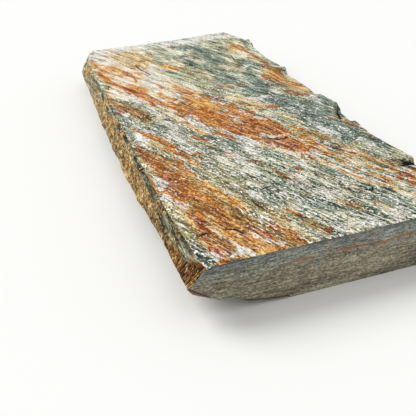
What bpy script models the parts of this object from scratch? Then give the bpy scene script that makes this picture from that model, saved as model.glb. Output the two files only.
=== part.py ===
"""A riven slate slab: one piece of foliated stone with sawn ends and broken long sides.

The slab is laid out in slab coordinates, in millimetres: u runs across it from the front
left corner, v runs along it from the sawn front end, and z rises from the flat underside.
The finished solid stands on its underside with the middle of its base at the origin.
"""

from dataclasses import dataclass

import bmesh
import bpy
import numpy as np
from mathutils import Vector, noise

MILLIMETRE = 0.001

# Driving dimensions.
WIDTH = 180.0
LENGTH = 470.0
THICKNESS = 36.0

# The solid is a box grid bent to shape. These are its cells across, along and down.
CELL = 6.0
CELLS_ACROSS = round(WIDTH / CELL)
CELLS_ALONG = round(LENGTH / CELL)

# Each line runs along the slab. Its knots are (v, value), joined by straight stretches.
LEFT_ARRIS = ((0, 2), (15, 0), (60, -3), (150, -4), (300, -5), (430, -5), (455, -1), (470, 4))
LEFT_RIDGE = (
    (0, -9.4), (50, -10.5), (90, -12), (130, -14), (190, -15), (300, -15),
    (400, -14), (440, -12), (458, -7), (470, -1),
)
LEFT_RIDGE_DEPTH = ((0, 12), (60, 14), (130, 17), (300, 17), (430, 15), (470, 9))
LEFT_KEEL = ((0, 50), (80, 26), (160, 9), (260, 3), (470, 6))
RIGHT_ARRIS = (
    (0, 181), (45, 180), (73, 181.5), (104, 176.5), (122, 175.5), (145, 177.5), (162, 182),
    (184, 184), (201, 184), (218, 181), (250, 188), (311, 187), (334, 190), (357, 187),
    (406, 190.5), (435, 191), (455, 185), (470, 179),
)
RIGHT_KEEL = ((0, 176), (90, 171), (180, 176), (300, 180), (400, 184), (470, 175))

# Down the left side, from the arris: a weathered shoulder, a rough slope to the ridge, and a
# long undercut from the ridge to the keel. Each share is (of the way out or in, of the way down).
LEFT_SLOPE_SHARES = ((0.0, 0.0), (0.30, 0.22), (0.36, 0.46), (0.72, 0.76), (1.0, 1.0))
LEFT_UNDERCUT_SHARES = ((0.05, 0.18), (0.28, 0.52), (0.44, 0.58), (0.60, 0.80), (1.0, 1.0))

# Down the right side: how deep each row lies, as a share of the thickness, and how far it
# stands out from the arris. Rows at nearly one depth make the tread of a ledge.
RIGHT_ROWS = (
    (0.0, 0.0), (0.12, 0.6), (0.15, 3.0), (0.33, 2.2), (0.36, 5.2), (0.56, 4.6), (0.59, 1.8),
    (0.78, 2.8), (0.84, 0.8), (1.0, 0.0),
)
# The sheet of stone that each of those rows belongs to, and the parting between two sheets
# that it lies on, both from the top. A sheet breaks as one, and a parting rises and dips as one.
RIGHT_SHEETS = (0, 0, 1, 1, 2, 2, 3, 3, 4, 4)
RIGHT_PARTINGS = (0, 1, 1, 2, 2, 3, 3, 4, 4, 0)
# How far a parting strays up and down, as a share of the thickness.
PARTING_RISE = 0.045
# Share of the thickness below which the right side draws in towards its keel.
RIGHT_TURN = 0.5

# Broken edges: the length of their straight breaks, how much that varies, and how far they
# stray from their line on each side.
BREAK_LENGTH = 17.0
BREAK_LENGTH_RANGE = (0.5, 1.5)
LEFT_BREAK_DEPTH = 1.0
RIGHT_BREAK_DEPTH = 2.1

# Height and length of the long swells in the upper cleavage face, and of its ripples, which
# follow the grain. The sawn front edge is nearly straight, so the swells die out there.
SWELL_HEIGHT = 1.3
SWELL_LENGTH = 85.0
SWELL_SEED = 3.7
RIPPLE_HEIGHT = 0.45
RIPPLE_LENGTH = 52.0
RIPPLE_WIDTH = 15.0
RIPPLE_SEED = 8.1
CALM_FRONT = 40.0
CALM_SHARE = 0.3
# Direction of the grain on the cleavage face, measured from +u, in degrees.
GRAIN_ANGLE = -67.0

# Worn arrises: how much the cleavage faces drop within a few millimetres of the broken sides.
WORN_DROP = 1.2
WORN_RUN = 4.0

# A scarp rises to its full height over this share of its length, at each end.
SCARP_TAPER = 0.25

# Faces that point this nearly along an axis belong to a sawn end or to the flat underside, and
# are merged where they meet within the angle, in degrees.
SAWN_LIMIT = 0.9999
FLAT_LIMIT = 0.99999
MERGE_ANGLE = 0.2

COLOUR = (0.23, 0.25, 0.21, 1.0)
ROUGHNESS = 0.75


@dataclass(frozen=True)
class Ledge:
    """A place at a long side where sheets of stone have broken away.

    The stone steps back by `drop` beyond the `shoulder` line, over `run` millimetres, between
    `start` and `end` along the slab, and the break closes over `fade` at each of those. The
    side is 1 for the right side and -1 for the left.
    """

    start: float
    end: float
    shoulder: tuple
    drop: float
    run: float
    fade: float
    side: int = 1


@dataclass(frozen=True)
class Scarp:
    """The broken edge of a thin sheet on the upper face.

    Seen from `start` towards `end`, the face drops by `drop` to the right of the line, and
    rises again over `reach` millimetres.
    """

    start: tuple
    end: tuple
    drop: float
    reach: float


# The last ledge on each face runs past the sawn end, where the break is cut through.
TOP_LEDGES = (
    Ledge(-20, 72, ((0, 168), (40, 165), (62, 163), (72, 167)), 4.0, 3.0, 3.0),
    Ledge(148, 190, ((148, 172), (160, 168), (175, 171), (190, 180)), 6.5, 6.0, 6.0),
    Ledge(216, 310, ((216, 174), (245, 164), (262, 160), (280, 156), (310, 167)), 7.0, 24.0, 8.0),
    Ledge(310, 425, ((310, 168), (340, 163), (362, 158), (395, 160), (425, 172)), 5.0, 26.0, 8.0),
    Ledge(425, 490, ((425, 176), (440, 174), (490, 172)), 3.5, 10.0, 10.0),
)
UNDERSIDE_LEDGES = (
    Ledge(70, 210, ((70, 190), (96, 136), (130, 122), (168, 140), (210, 190)), 2.4, 3.0, 5.0),
    Ledge(105, 170, ((105, 172), (128, 150), (150, 153), (170, 172)), 5.0, 3.0, 5.0),
    Ledge(300, 500, ((300, 190), (330, 150), (380, 138), (430, 100), (500, 60)), 2.0, 3.0, 5.0),
    Ledge(415, 500, ((415, 190), (440, 158), (500, 128)), 4.6, 3.0, 5.0),
    Ledge(190, 360, ((190, -5), (225, 34), (262, 52), (310, 38), (360, -5)), 2.8, 3.0, 5.0, -1),
    Ledge(235, 320, ((235, 2), (258, 24), (290, 20), (320, 2)), 5.4, 3.0, 5.0, -1),
)
SCARPS = (
    Scarp((40, 396), (58, 336), 1.1, 22.0),
    Scarp((156, 388), (149, 350), 1.2, 14.0),
    Scarp((128, 311), (106, 319), 1.6, 26.0),
    Scarp((116, 142), (99, 152), 2.0, 11.0),
    Scarp((100, 179), (84, 187), 1.2, 8.0),
    Scarp((168, 126), (138, 115), 1.3, 20.0),
    Scarp((57, 46), (51, 62), 1.2, 9.0),
    Scarp((22, 214), (2, 232), 1.0, 24.0),
    Scarp((86, 30), (70, 82), 0.9, 16.0),
)


def along(line, v):
    """Value of a line of (v, value) knots at v."""
    places, values = zip(*line)
    return float(np.interp(v, places, values))


def smooth_step(x):
    """0 below 0, 1 above 1, and a smooth rise between them."""
    x = min(max(x, 0.0), 1.0)
    return x * x * (3.0 - 2.0 * x)


def broken_line(seed, depth):
    """Knots (v, offset) of one broken edge: straight breaks of uneven length, up to `depth` off."""
    rng = np.random.default_rng(seed)
    count = int(LENGTH / BREAK_LENGTH) + 2
    places = np.cumsum(rng.uniform(*BREAK_LENGTH_RANGE, count)) * BREAK_LENGTH - BREAK_LENGTH
    offsets = rng.uniform(-1.0, 1.0, count) * depth
    return tuple(zip(places, offsets))


LEFT_BREAKS = tuple(broken_line(seed, LEFT_BREAK_DEPTH) for seed in range(10, 19))
RIGHT_BREAKS = tuple(broken_line(seed, RIGHT_BREAK_DEPTH) for seed in range(30, 35))
PARTINGS = tuple(broken_line(seed, PARTING_RISE) for seed in range(50, 55))


def grain_coordinates(u, v):
    """Distances of a point along the grain and across it."""
    turn = np.radians(GRAIN_ANGLE)
    return u * np.cos(turn) + v * np.sin(turn), v * np.cos(turn) - u * np.sin(turn)


def ledge_drop(ledges, u, v):
    """How far broken ledges set a cleavage face back at a point."""
    drop = 0.0
    for ledge in ledges:
        beyond = ledge.side * (u - along(ledge.shoulder, v))
        closing = smooth_step(min(v - ledge.start, ledge.end - v) / ledge.fade)
        drop = max(drop, ledge.drop * smooth_step(beyond / ledge.run) * closing)
    return drop


def scarp_drop(u, v):
    """How far the broken edges of thin sheets lower the upper face at a point."""
    drop = 0.0
    for scarp in SCARPS:
        start = Vector(scarp.start)
        line = Vector(scarp.end) - start
        offset = Vector((u, v)) - start
        share = offset.dot(line) / line.length_squared
        right = -line.normalized().cross(offset)
        if 0.0 < share < 1.0 and right > 0.0:
            taper = smooth_step(min(share, 1.0 - share) / SCARP_TAPER)
            drop = max(drop, scarp.drop * taper * max(1.0 - right / scarp.reach, 0.0))
    return drop


def top_height(u, v):
    """Height of the upper cleavage face."""
    follow, across = grain_coordinates(u, v)
    swell = noise.noise(Vector((u / SWELL_LENGTH, v / SWELL_LENGTH, SWELL_SEED)))
    ripple = noise.noise(Vector((follow / RIPPLE_LENGTH, across / RIPPLE_WIDTH, RIPPLE_SEED)))
    calm = CALM_SHARE + (1.0 - CALM_SHARE) * smooth_step(v / CALM_FRONT)
    relief = calm * (SWELL_HEIGHT * swell + RIPPLE_HEIGHT * ripple)
    inside = u - along(LEFT_ARRIS, v)
    worn = WORN_DROP * (1.0 - smooth_step(inside / WORN_RUN))
    return THICKNESS + relief - worn - ledge_drop(TOP_LEDGES, u, v) - scarp_drop(u, v)


def underside_height(u, v):
    """Height of the lower cleavage face: a flat plane that steps back where sheets are lost."""
    return ledge_drop(UNDERSIDE_LEDGES, u, v)


def left_rows(v):
    """(u, z) of each row of the left side at v, from the arris down to the keel."""
    arris = along(LEFT_ARRIS, v)
    ridge = along(LEFT_RIDGE, v)
    keel = along(LEFT_KEEL, v)
    depth = along(LEFT_RIDGE_DEPTH, v)
    below = THICKNESS - depth
    foot = underside_height(keel, v)
    rows = [(arris, top_height(arris, v))]
    for out, down in LEFT_SLOPE_SHARES[1:]:
        rows.append((arris + (ridge - arris) * out, THICKNESS - depth * down))
    for back, down in LEFT_UNDERCUT_SHARES[:-1]:
        rows.append((ridge + (keel - ridge) * back, below + (foot - below) * down))
    broken = [(u + along(breaks, v), z) for (u, z), breaks in zip(rows[1:], LEFT_BREAKS)]
    return [rows[0], *broken, (keel, foot)]


def right_rows(v):
    """(u, z) of each row of the right side at v, from the arris down to the keel."""
    arris = along(RIGHT_ARRIS, v)
    keel = along(RIGHT_KEEL, v)
    top = top_height(arris, v)
    foot = underside_height(keel, v)
    rows = [(arris, top)]
    steps = list(zip(RIGHT_ROWS, RIGHT_SHEETS, RIGHT_PARTINGS))
    for (depth, out), sheet, parting in steps[1:-1]:
        turn = max(depth - RIGHT_TURN, 0.0) / (1.0 - RIGHT_TURN)
        u = arris + (keel - arris) * turn + out + along(RIGHT_BREAKS[sheet], v)
        rows.append((u, top + (foot - top) * (depth + along(PARTINGS[parting], v))))
    rows.append((keel, foot))
    return rows


def slab_points():
    """Every point of the box grid's surface, as {(column, station, row): (u, v, z)}."""
    last_row = len(RIGHT_ROWS) - 1
    points = {}
    for station in range(CELLS_ALONG + 1):
        v = LENGTH * station / CELLS_ALONG
        sides = list(zip(left_rows(v), right_rows(v)))
        at_end = station in (0, CELLS_ALONG)
        for row, ((left_u, left_z), (right_u, right_z)) in enumerate(sides):
            for column in range(CELLS_ACROSS + 1):
                share = column / CELLS_ACROSS
                if not (at_end or row in (0, last_row) or column in (0, CELLS_ACROSS)):
                    continue
                u = left_u + (right_u - left_u) * share
                z = left_z + (right_z - left_z) * share
                if row == 0:
                    z = top_height(u, v)
                elif row == last_row:
                    z = underside_height(u, v)
                points[column, station, row] = (u, v, z)
    return points


def grid_faces():
    """Quads of the box grid's six sides, each as the (column, station, row) of its corners."""
    rows = len(RIGHT_ROWS) - 1
    sizes = (CELLS_ACROSS, CELLS_ALONG, rows)
    for normal in range(3):
        first, second = [axis for axis in range(3) if axis != normal]
        for level in (0, sizes[normal]):
            for a in range(sizes[first]):
                for b in range(sizes[second]):
                    corners = []
                    for step_a, step_b in ((0, 0), (1, 0), (1, 1), (0, 1)):
                        key = [level] * 3
                        key[first] = a + step_a
                        key[second] = b + step_b
                        corners.append(tuple(key))
                    yield corners


def is_plain(face):
    """Whether a face lies in one of the sawn ends or in the flat of the underside."""
    return abs(face.normal.y) > SAWN_LIMIT or face.normal.z < -FLAT_LIMIT


def merge_plain_faces(built):
    """Clears the grid's points away from inside the sawn ends and the flat of the underside."""
    inner_vertices = [vertex for vertex in built.verts if all(map(is_plain, vertex.link_faces))]
    inner_edges = [edge for edge in built.edges if all(map(is_plain, edge.link_faces))]
    limit = np.radians(MERGE_ANGLE)
    bmesh.ops.dissolve_limit(built, angle_limit=limit, verts=inner_vertices, edges=inner_edges)


def slab_mesh():
    """The closed mesh of the slab, in metres, with the middle of its base at the origin."""
    points = slab_points()
    corners = np.array(list(points.values()))
    middle = (corners.min(axis=0) + corners.max(axis=0)) / 2.0
    middle[2] = corners[:, 2].min()
    built = bmesh.new()
    vertices = {}
    for key, point in points.items():
        vertices[key] = built.verts.new((np.array(point) - middle) * MILLIMETRE)
    for keys in grid_faces():
        built.faces.new([vertices[key] for key in keys])
    bmesh.ops.recalc_face_normals(built, faces=built.faces)
    bmesh.ops.triangulate(built, faces=built.faces)
    merge_plain_faces(built)
    bmesh.ops.triangulate(built, faces=built.faces)
    mesh = bpy.data.meshes.new("slab")
    built.to_mesh(mesh)
    built.free()
    return mesh


def stone_material():
    """Dull grey-green slate."""
    material = bpy.data.materials.new("riven slate")
    material.use_nodes = True
    surface = material.node_tree.nodes["Principled BSDF"]
    surface.inputs["Base Color"].default_value = COLOUR
    surface.inputs["Roughness"].default_value = ROUGHNESS
    surface.inputs["Metallic"].default_value = 0.0
    return material


def clear_scene():
    """Removes every object of the scene that the script starts in."""
    for old in list(bpy.data.objects):
        bpy.data.objects.remove(old)


def main():
    clear_scene()
    slab = bpy.data.objects.new("slab", slab_mesh())
    slab.data.materials.append(stone_material())
    bpy.context.scene.collection.objects.link(slab)


main()
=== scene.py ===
import logging
from dataclasses import dataclass, field, replace
from enum import Enum
from math import cos, radians, sin
from typing import Any

import bmesh
import bpy
import numpy as np
from mathutils import Euler, Matrix, Vector, noise


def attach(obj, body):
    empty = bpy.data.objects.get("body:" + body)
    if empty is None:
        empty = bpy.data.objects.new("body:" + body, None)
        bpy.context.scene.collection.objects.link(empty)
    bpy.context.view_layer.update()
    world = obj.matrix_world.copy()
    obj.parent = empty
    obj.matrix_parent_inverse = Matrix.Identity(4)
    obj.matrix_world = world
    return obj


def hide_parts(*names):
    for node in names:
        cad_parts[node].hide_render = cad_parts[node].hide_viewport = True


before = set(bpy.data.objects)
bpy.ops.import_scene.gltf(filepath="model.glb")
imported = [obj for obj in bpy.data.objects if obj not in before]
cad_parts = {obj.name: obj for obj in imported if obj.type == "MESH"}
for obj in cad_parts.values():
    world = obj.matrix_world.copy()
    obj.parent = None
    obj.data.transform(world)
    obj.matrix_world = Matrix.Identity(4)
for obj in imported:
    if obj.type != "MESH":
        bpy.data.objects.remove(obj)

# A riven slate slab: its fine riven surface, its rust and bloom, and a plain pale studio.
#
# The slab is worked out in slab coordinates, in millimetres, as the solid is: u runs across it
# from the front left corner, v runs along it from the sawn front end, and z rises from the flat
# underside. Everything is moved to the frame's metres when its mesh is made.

LOG = logging.getLogger("slate_slab")
MILLIMETRE = 0.001
SMALLEST = 1e-6
NOISE_ROUGHNESS = 0.6
# How deep a cell of the grain is, as a share of its width.
CELL_DEPTH = 1.5
# The rows of a side between its two edges.
INNER = slice(1, -1)
RUST_VEIN = "#9a6224"
DARK_VEIN = "#3c1d10"
PALE_SCORE = "#b5ab92"

Knots = tuple[tuple[float, float], ...]
Numbers = np.ndarray
# A colour ramp's places and sRGB hex colours.
Stops = tuple[tuple[float, str], ...]
# Where an effect begins, where it is full and, if that isn't 1, how much it covers.
Reach = tuple[float, ...]


def linear(colour: str) -> tuple[float, float, float, float]:
    """Turns an sRGB hex colour into linear values.

    Args:
        colour: Six hex digits after a hash.

    Returns:
        Linear red, green, blue and an alpha of one.
    """
    parts = [int(colour[place:place + 2], 16) / 255.0 for place in (1, 3, 5)]
    red, green, blue = (
        part / 12.92 if part <= 0.04045 else ((part + 0.055) / 1.055) ** 2.4 for part in parts
    )
    return red, green, blue, 1.0


def add_node(
    tree: bpy.types.NodeTree,
    kind: str,
    settings: dict[str, Any] | None = None,
    values: dict[str | int, Any] | None = None,
    links: dict[str | int, bpy.types.NodeSocket] | None = None,
) -> bpy.types.Node:
    """Adds a node to a tree.

    Args:
        tree: The tree that gets the node.
        kind: Blender's identifier of the node.
        settings: Properties of the node, by name.
        values: Values of its inputs, by name or number.
        links: Sockets that feed its inputs, by name or number.

    Returns:
        The new node.
    """
    node = tree.nodes.new(kind)
    for name, value in (settings or {}).items():
        setattr(node, name, value)
    for name, value in (values or {}).items():
        node.inputs[name].default_value = value
    for name, source in (links or {}).items():
        tree.links.new(source, node.inputs[name])
    return node


def new_material(
    name: str, specular: float, roughness: float = 0.5
) -> tuple[bpy.types.Material, bpy.types.NodeTree, bpy.types.Node]:
    """Makes a material with a plain surface.

    Args:
        name: Its name.
        specular: How much sheen it has.
        roughness: How rough it is.

    Returns:
        The material, its tree and its surface.
    """
    material = bpy.data.materials.new(name)
    material.use_nodes = True
    surface = material.node_tree.nodes["Principled BSDF"]
    surface.inputs["Specular IOR Level"].default_value = specular
    surface.inputs["Roughness"].default_value = roughness
    return material, material.node_tree, surface


def along(line: Knots, v: Numbers) -> Numbers:
    """Reads a line of (v, value) knots, joined by straight stretches, at v."""
    places, values = zip(*line)
    return np.interp(v, places, values)


def smooth_step(x: Numbers) -> Numbers:
    """Gives 0 below 0, 1 above 1, and a smooth rise between them."""
    x = np.clip(x, 0.0, 1.0)
    return x * x * (3.0 - 2.0 * x)


def noise_at(first: Numbers, second: Numbers, seed: float) -> Numbers:
    """Gives smooth noise between about -1 and 1 at each pair of coordinates.

    Args:
        first: First coordinates, in noise cells.
        second: Second coordinates, in noise cells.
        seed: Where the third coordinate cuts the noise.

    Returns:
        The noise, in the shape of the coordinates.
    """
    pairs = zip(np.ravel(first), np.ravel(second))
    return np.array([noise.noise((a, b, seed)) for a, b in pairs]).reshape(np.shape(first))


class Zone(Enum):
    """The kinds of surface that the slab has, and the material slot of each."""

    RIVEN = 0
    BROKEN = 1
    SAWN = 2
    BED = 3


class Stain(Enum):
    """The colours that mark the riven face, each kept in a mesh attribute of that name."""

    SLATE = "slate"
    OLIVE = "olive"
    CREAM = "cream"
    TAN = "tan"
    OCHRE = "ochre"
    RUST = "rust"
    BROWN = "brown"
    RED = "red"
    WHITE = "white"


@dataclass(frozen=True)
class Ledge:
    """A place at a long side where sheets of stone have broken away.

    The stone steps back by `drop` beyond the `shoulder` line, over `run` millimetres, between
    `start` and `end` along the slab, and the break closes over `fade` at each of those. The
    side is 1 for the right side and -1 for the left.
    """

    start: float
    end: float
    shoulder: Knots
    drop: float
    run: float
    fade: float
    side: int = 1

    def fall(self, u: Numbers, v: Numbers) -> Numbers:
        """Gives how far the ledge sets the face back at each point."""
        beyond = self.side * (u - along(self.shoulder, v))
        closing = smooth_step(np.minimum(v - self.start, self.end - v) / self.fade)
        return self.drop * smooth_step(beyond / self.run) * closing


@dataclass(frozen=True)
class Scarp:
    """The broken edge of a thin sheet on the upper face.

    Seen from `start` towards `end`, the face drops by `drop` to the right of the line, and
    rises again over `reach` millimetres.
    """

    start: tuple[float, float]
    end: tuple[float, float]
    drop: float
    reach: float
    taper: float = 0.25
    raggedness: float = 1.6
    ragged_length: float = 7.0
    ragged_width: float = 30.0

    def fall(self, u: Numbers, v: Numbers) -> Numbers:
        """Gives how far the scarp lowers the face at each point."""
        start = np.array(self.start)
        line = np.array(self.end) - start
        length = np.hypot(*line)
        share = ((u - start[0]) * line[0] + (v - start[1]) * line[1]) / length ** 2
        right = ((u - start[0]) * line[1] - (v - start[1]) * line[0]) / length
        cells = share * length / self.ragged_length, right / self.ragged_width
        right = right + self.raggedness * noise_at(*cells, self.drop)
        taper = smooth_step(np.minimum(share, 1.0 - share) / self.taper)
        within = (share > 0.0) & (share < 1.0) & (right > 0.0)
        return np.where(within, self.drop * taper * np.maximum(1.0 - right / self.reach, 0.0), 0.0)


@dataclass(frozen=True)
class Stroke:
    """A marking that follows a line: its points are (u, v, half width), in millimetres."""

    points: tuple[tuple[float, float, float], ...]
    strength: float = 1.0
    core: float = 0.15
    edge: float = 1.8

    def field(self, u: Numbers, v: Numbers) -> Numbers:
        """Gives the marking's strength at each point, from 0 to `strength`.

        Args:
            u: Places across the slab.
            v: Places along the slab.

        Returns:
            The strength, full in the core of the line and none past its edge.
        """
        strongest = np.zeros(np.shape(u))
        points = self.points if len(self.points) > 1 else self.points * 2
        for (u0, v0, w0), (u1, v1, w1) in zip(points, points[1:]):
            run = (u1 - u0) ** 2 + (v1 - v0) ** 2
            share = ((u - u0) * (u1 - u0) + (v - v0) * (v1 - v0)) / max(run, SMALLEST)
            share = np.clip(share, 0.0, 1.0)
            distance = np.hypot(u - u0 - share * (u1 - u0), v - v0 - share * (v1 - v0))
            reach = distance / (w0 + share * (w1 - w0))
            strength = 1.0 - smooth_step((reach - self.core) / (self.edge - self.core))
            strongest = np.maximum(strongest, strength)
        return self.strength * strongest


@dataclass
class SlabForm:
    """The shape of the slab, from the sawn outline down to its scarps and cracks."""

    length: float = 470.0
    thickness: float = 36.0
    solid_cell: float = 6.0
    columns: int = 192
    stations: int = 304
    front_fineness: float = 0.7
    grain_angle: float = -67.0

    left_arris: Knots = (
        (0, 2), (15, 0), (60, -3), (150, -4), (300, -5), (430, -5), (455, -1), (470, 4),
    )
    left_ridge: Knots = (
        (0, -9.4), (50, -10.5), (90, -12), (130, -14), (190, -15), (300, -15),
        (400, -14), (440, -12), (458, -7), (470, -1),
    )
    left_ridge_depth: Knots = ((0, 12), (60, 14), (130, 17), (300, 17), (430, 15), (470, 9))
    left_keel: Knots = ((0, 50), (80, 26), (160, 9), (260, 3), (470, 6))
    right_arris: Knots = (
        (0, 181), (45, 180), (73, 181.5), (104, 176.5), (122, 175.5), (145, 177.5), (162, 182),
        (184, 184), (201, 184), (218, 181), (250, 188), (311, 187), (334, 190), (357, 187),
        (406, 190.5), (435, 191), (455, 185), (470, 179),
    )
    right_keel: Knots = ((0, 176), (90, 171), (180, 176), (300, 180), (400, 184), (470, 175))

    left_slope_shares: Knots = ((0.0, 0.0), (0.30, 0.22), (0.36, 0.46), (0.72, 0.76), (1.0, 1.0))
    left_undercut_shares: Knots = (
        (0.05, 0.18), (0.28, 0.52), (0.44, 0.58), (0.60, 0.80), (1.0, 1.0),
    )
    left_steps: tuple[int, ...] = (4, 3, 5, 4, 3, 5, 3, 4, 6)
    # How far down to the ridge the tan slope begins.
    tan_from: Knots = (
        (0, 0.0), (6, 0.1), (14, 0.36), (22, 0.6), (40, 0.68), (75, 0.6), (95, 0.34), (125, 0.28),
        (330, 0.3), (400, 0.36), (470, 0.4),
    )
    right_rows_at: Knots = (
        (0.0, 0.0), (0.12, 0.6), (0.15, 3.0), (0.33, 2.2), (0.36, 5.2), (0.56, 4.6),
        (0.59, 1.8), (0.78, 2.8), (0.84, 0.8), (1.0, 0.0),
    )
    right_sheets: tuple[int, ...] = (0, 0, 1, 1, 2, 2, 3, 3, 4, 4)
    right_partings: tuple[int, ...] = (0, 1, 1, 2, 2, 3, 3, 4, 4, 0)
    right_steps: tuple[int, ...] = (3, 2, 5, 3, 5, 3, 5, 3, 4)
    right_turn: float = 0.5

    break_length: float = 17.0
    break_length_range: tuple[float, float] = (0.5, 1.5)
    left_break_depth: float = 1.0
    right_break_depth: float = 2.1
    parting_rise: float = 0.045
    left_seeds: range = range(10, 19)
    right_seeds: range = range(30, 35)
    parting_seeds: range = range(50, 55)

    swell_height: float = 1.3
    swell_length: float = 85.0
    swell_seed: float = 3.7
    ripple_height: float = 0.45
    ripple_length: float = 52.0
    ripple_width: float = 15.0
    ripple_seed: float = 8.1
    calm_front: float = 40.0
    calm_share: float = 0.3
    worn_drop: float = 1.2
    worn_run: float = 4.0

    top_ledges: tuple[Ledge, ...] = (
        Ledge(-20, 72, ((0, 168), (40, 165), (62, 163), (72, 167)), 4.0, 3.0, 3.0),
        Ledge(148, 190, ((148, 172), (160, 168), (175, 171), (190, 180)), 6.5, 6.0, 6.0),
        Ledge(216, 310, ((216, 174), (245, 164), (262, 160), (280, 156), (310, 167)), 7.0, 24.0, 8.0),
        Ledge(310, 425, ((310, 168), (340, 163), (362, 158), (395, 160), (425, 172)), 5.0, 26.0, 8.0),
        Ledge(425, 490, ((425, 176), (440, 174), (490, 172)), 3.5, 10.0, 10.0),
    )
    underside_ledges: tuple[Ledge, ...] = (
        Ledge(70, 210, ((70, 190), (96, 136), (130, 122), (168, 140), (210, 190)), 2.4, 3.0, 5.0),
        Ledge(105, 170, ((105, 172), (128, 150), (150, 153), (170, 172)), 5.0, 3.0, 5.0),
        Ledge(300, 500, ((300, 190), (330, 150), (380, 138), (430, 100), (500, 60)), 2.0, 3.0, 5.0),
        Ledge(415, 500, ((415, 190), (440, 158), (500, 128)), 4.6, 3.0, 5.0),
        Ledge(190, 360, ((190, -5), (225, 34), (262, 52), (310, 38), (360, -5)), 2.8, 3.0, 5.0, -1),
        Ledge(235, 320, ((235, 2), (258, 24), (290, 20), (320, 2)), 5.4, 3.0, 5.0, -1),
    )
    scarps: tuple[Scarp, ...] = (
        Scarp((40, 396), (58, 336), 1.1, 22.0),
        Scarp((156, 388), (149, 350), 1.2, 14.0),
        Scarp((128, 311), (106, 319), 1.6, 26.0),
        Scarp((116, 142), (99, 152), 2.0, 11.0),
        Scarp((100, 179), (84, 187), 1.2, 8.0),
        Scarp((172, 124), (133, 107), 1.3, 18.0),
        Scarp((57, 46), (51, 62), 1.2, 9.0),
        Scarp((22, 214), (2, 232), 1.0, 24.0),
        Scarp((86, 30), (70, 82), 0.9, 16.0),
    )
    # Cracks: each cuts the face down by crack_depth, and the riven material paints it dark as the shadow in
    # it.
    cracks: tuple[Stroke, ...] = (
        Stroke(((51.5, 59, 0.7), (52.7, 52.5, 1.1), (54.2, 47.8, 0.9), (55.5, 42, 0.5))),
        Stroke(((62, 69, 0.5), (66, 71.5, 0.9), (71, 72, 0.9), (75, 69, 0.5))),
        Stroke(((71, 35, 0.5), (73, 31.5, 1.0), (76, 27, 0.8))),
        Stroke(((7, 31, 0.8), (12, 33, 1.2), (15, 31, 0.8))),
        Stroke(((24, 33, 0.7), (30, 31, 1.3), (33, 25, 1.0))),
        Stroke(((125, 43, 0.7), (130, 41, 1.2), (132, 45, 0.7))),
        Stroke(((133, 107.5, 0.4), (141, 107.5, 0.8), (148, 109.5, 0.6))),
        Stroke(((152, 112, 0.4), (160, 116.5, 0.6), (168, 121, 0.4))),
        Stroke(((166, 77.5, 0.5), (169, 73.5, 1.0), (174, 70.5, 1.3), (183, 68, 1.6))),
        Stroke(
            ((99.5, 151, 0.6), (101.5, 145.5, 1.2), (105.5, 142, 1.4), (111, 141, 1.3), (117, 141.5, 0.6)),
        ),
        Stroke(((84, 186, 0.6), (90, 181, 1.2), (98, 180, 0.7))),
        Stroke(((61, 242, 0.6), (65, 246, 1.1), (69, 248, 0.6))),
        Stroke(((44, 262, 0.7), (49, 258, 1.1), (54, 261, 0.6))),
        Stroke(((108, 312, 0.7), (116, 315, 1.6), (127, 310, 0.9))),
        Stroke(((42, 388, 0.8), (45, 368, 1.2), (50, 352, 1.2), (56, 338, 0.8))),
        Stroke(((151, 380, 0.7), (149, 362, 1.1), (152, 350, 1.5), (158, 352, 0.7))),
        Stroke(((134, 205, 0.6), (141, 210, 0.9))),
        Stroke(((104, 220, 0.6), (112, 218, 1.0), (118, 217, 0.6))),
        Stroke(((174, 168, 1.2), (177, 172, 1.8), (181, 184, 1.2))),
        Stroke(((168, 157, 0.9), (171, 157, 1.4), (173, 150, 0.9))),
        Stroke(((20, 214, 0.7), (24, 212, 0.9))),
        Stroke(((33, 240, 0.7), (35, 236, 1.1))),
        Stroke(((22, 290, 0.7), (25, 286, 1.1))),
        Stroke(((18, 233, 0.9), (22, 228, 1.3), (22, 224, 0.7))),
        Stroke(((97, 300, 0.5), (88, 313, 0.9))),
    )
    crack_depth: float = 0.9

    def __post_init__(self) -> None:
        """Draws the broken edges and finds the middle of the solid."""
        self.left_breaks, self.right_breaks, self.partings = (
            tuple(self.broken_line(seed, depth) for seed in seeds)
            for seeds, depth in (
                (self.left_seeds, self.left_break_depth),
                (self.right_seeds, self.right_break_depth),
                (self.parting_seeds, self.parting_rise),
            )
        )
        solid_stations = round(self.length / self.solid_cell) + 1
        v = np.linspace(0.0, self.length, solid_stations)
        self.middle_u = (self.left_rows(v)[0].min() + self.right_rows(v)[0].max()) / 2.0

    def broken_line(self, seed: int, depth: float) -> Knots:
        """Draws one broken edge: straight breaks of uneven length, up to `depth` off its line.

        Args:
            seed: Seed of the edge's own random draws.
            depth: How far it strays, either way.

        Returns:
            Knots (v, offset).
        """
        rng = np.random.default_rng(seed)
        count = int(self.length / self.break_length) + 2
        lengths = rng.uniform(*self.break_length_range, count) * self.break_length
        places = np.cumsum(lengths) - self.break_length
        offsets = rng.uniform(-1.0, 1.0, count) * depth
        return tuple(zip(places, offsets))

    def station_places(self) -> Numbers:
        """Gives the v of the stations, which stand closer together at the front end."""
        share = np.linspace(0.0, 1.0, self.stations + 1)
        return self.length * share * (self.front_fineness + (1.0 - self.front_fineness) * share)

    def grain(self, u: Numbers, v: Numbers) -> tuple[Numbers, Numbers]:
        """Gives each point's distances along the grain and across it."""
        turn = radians(self.grain_angle)
        return u * cos(turn) + v * sin(turn), v * cos(turn) - u * sin(turn)

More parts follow.
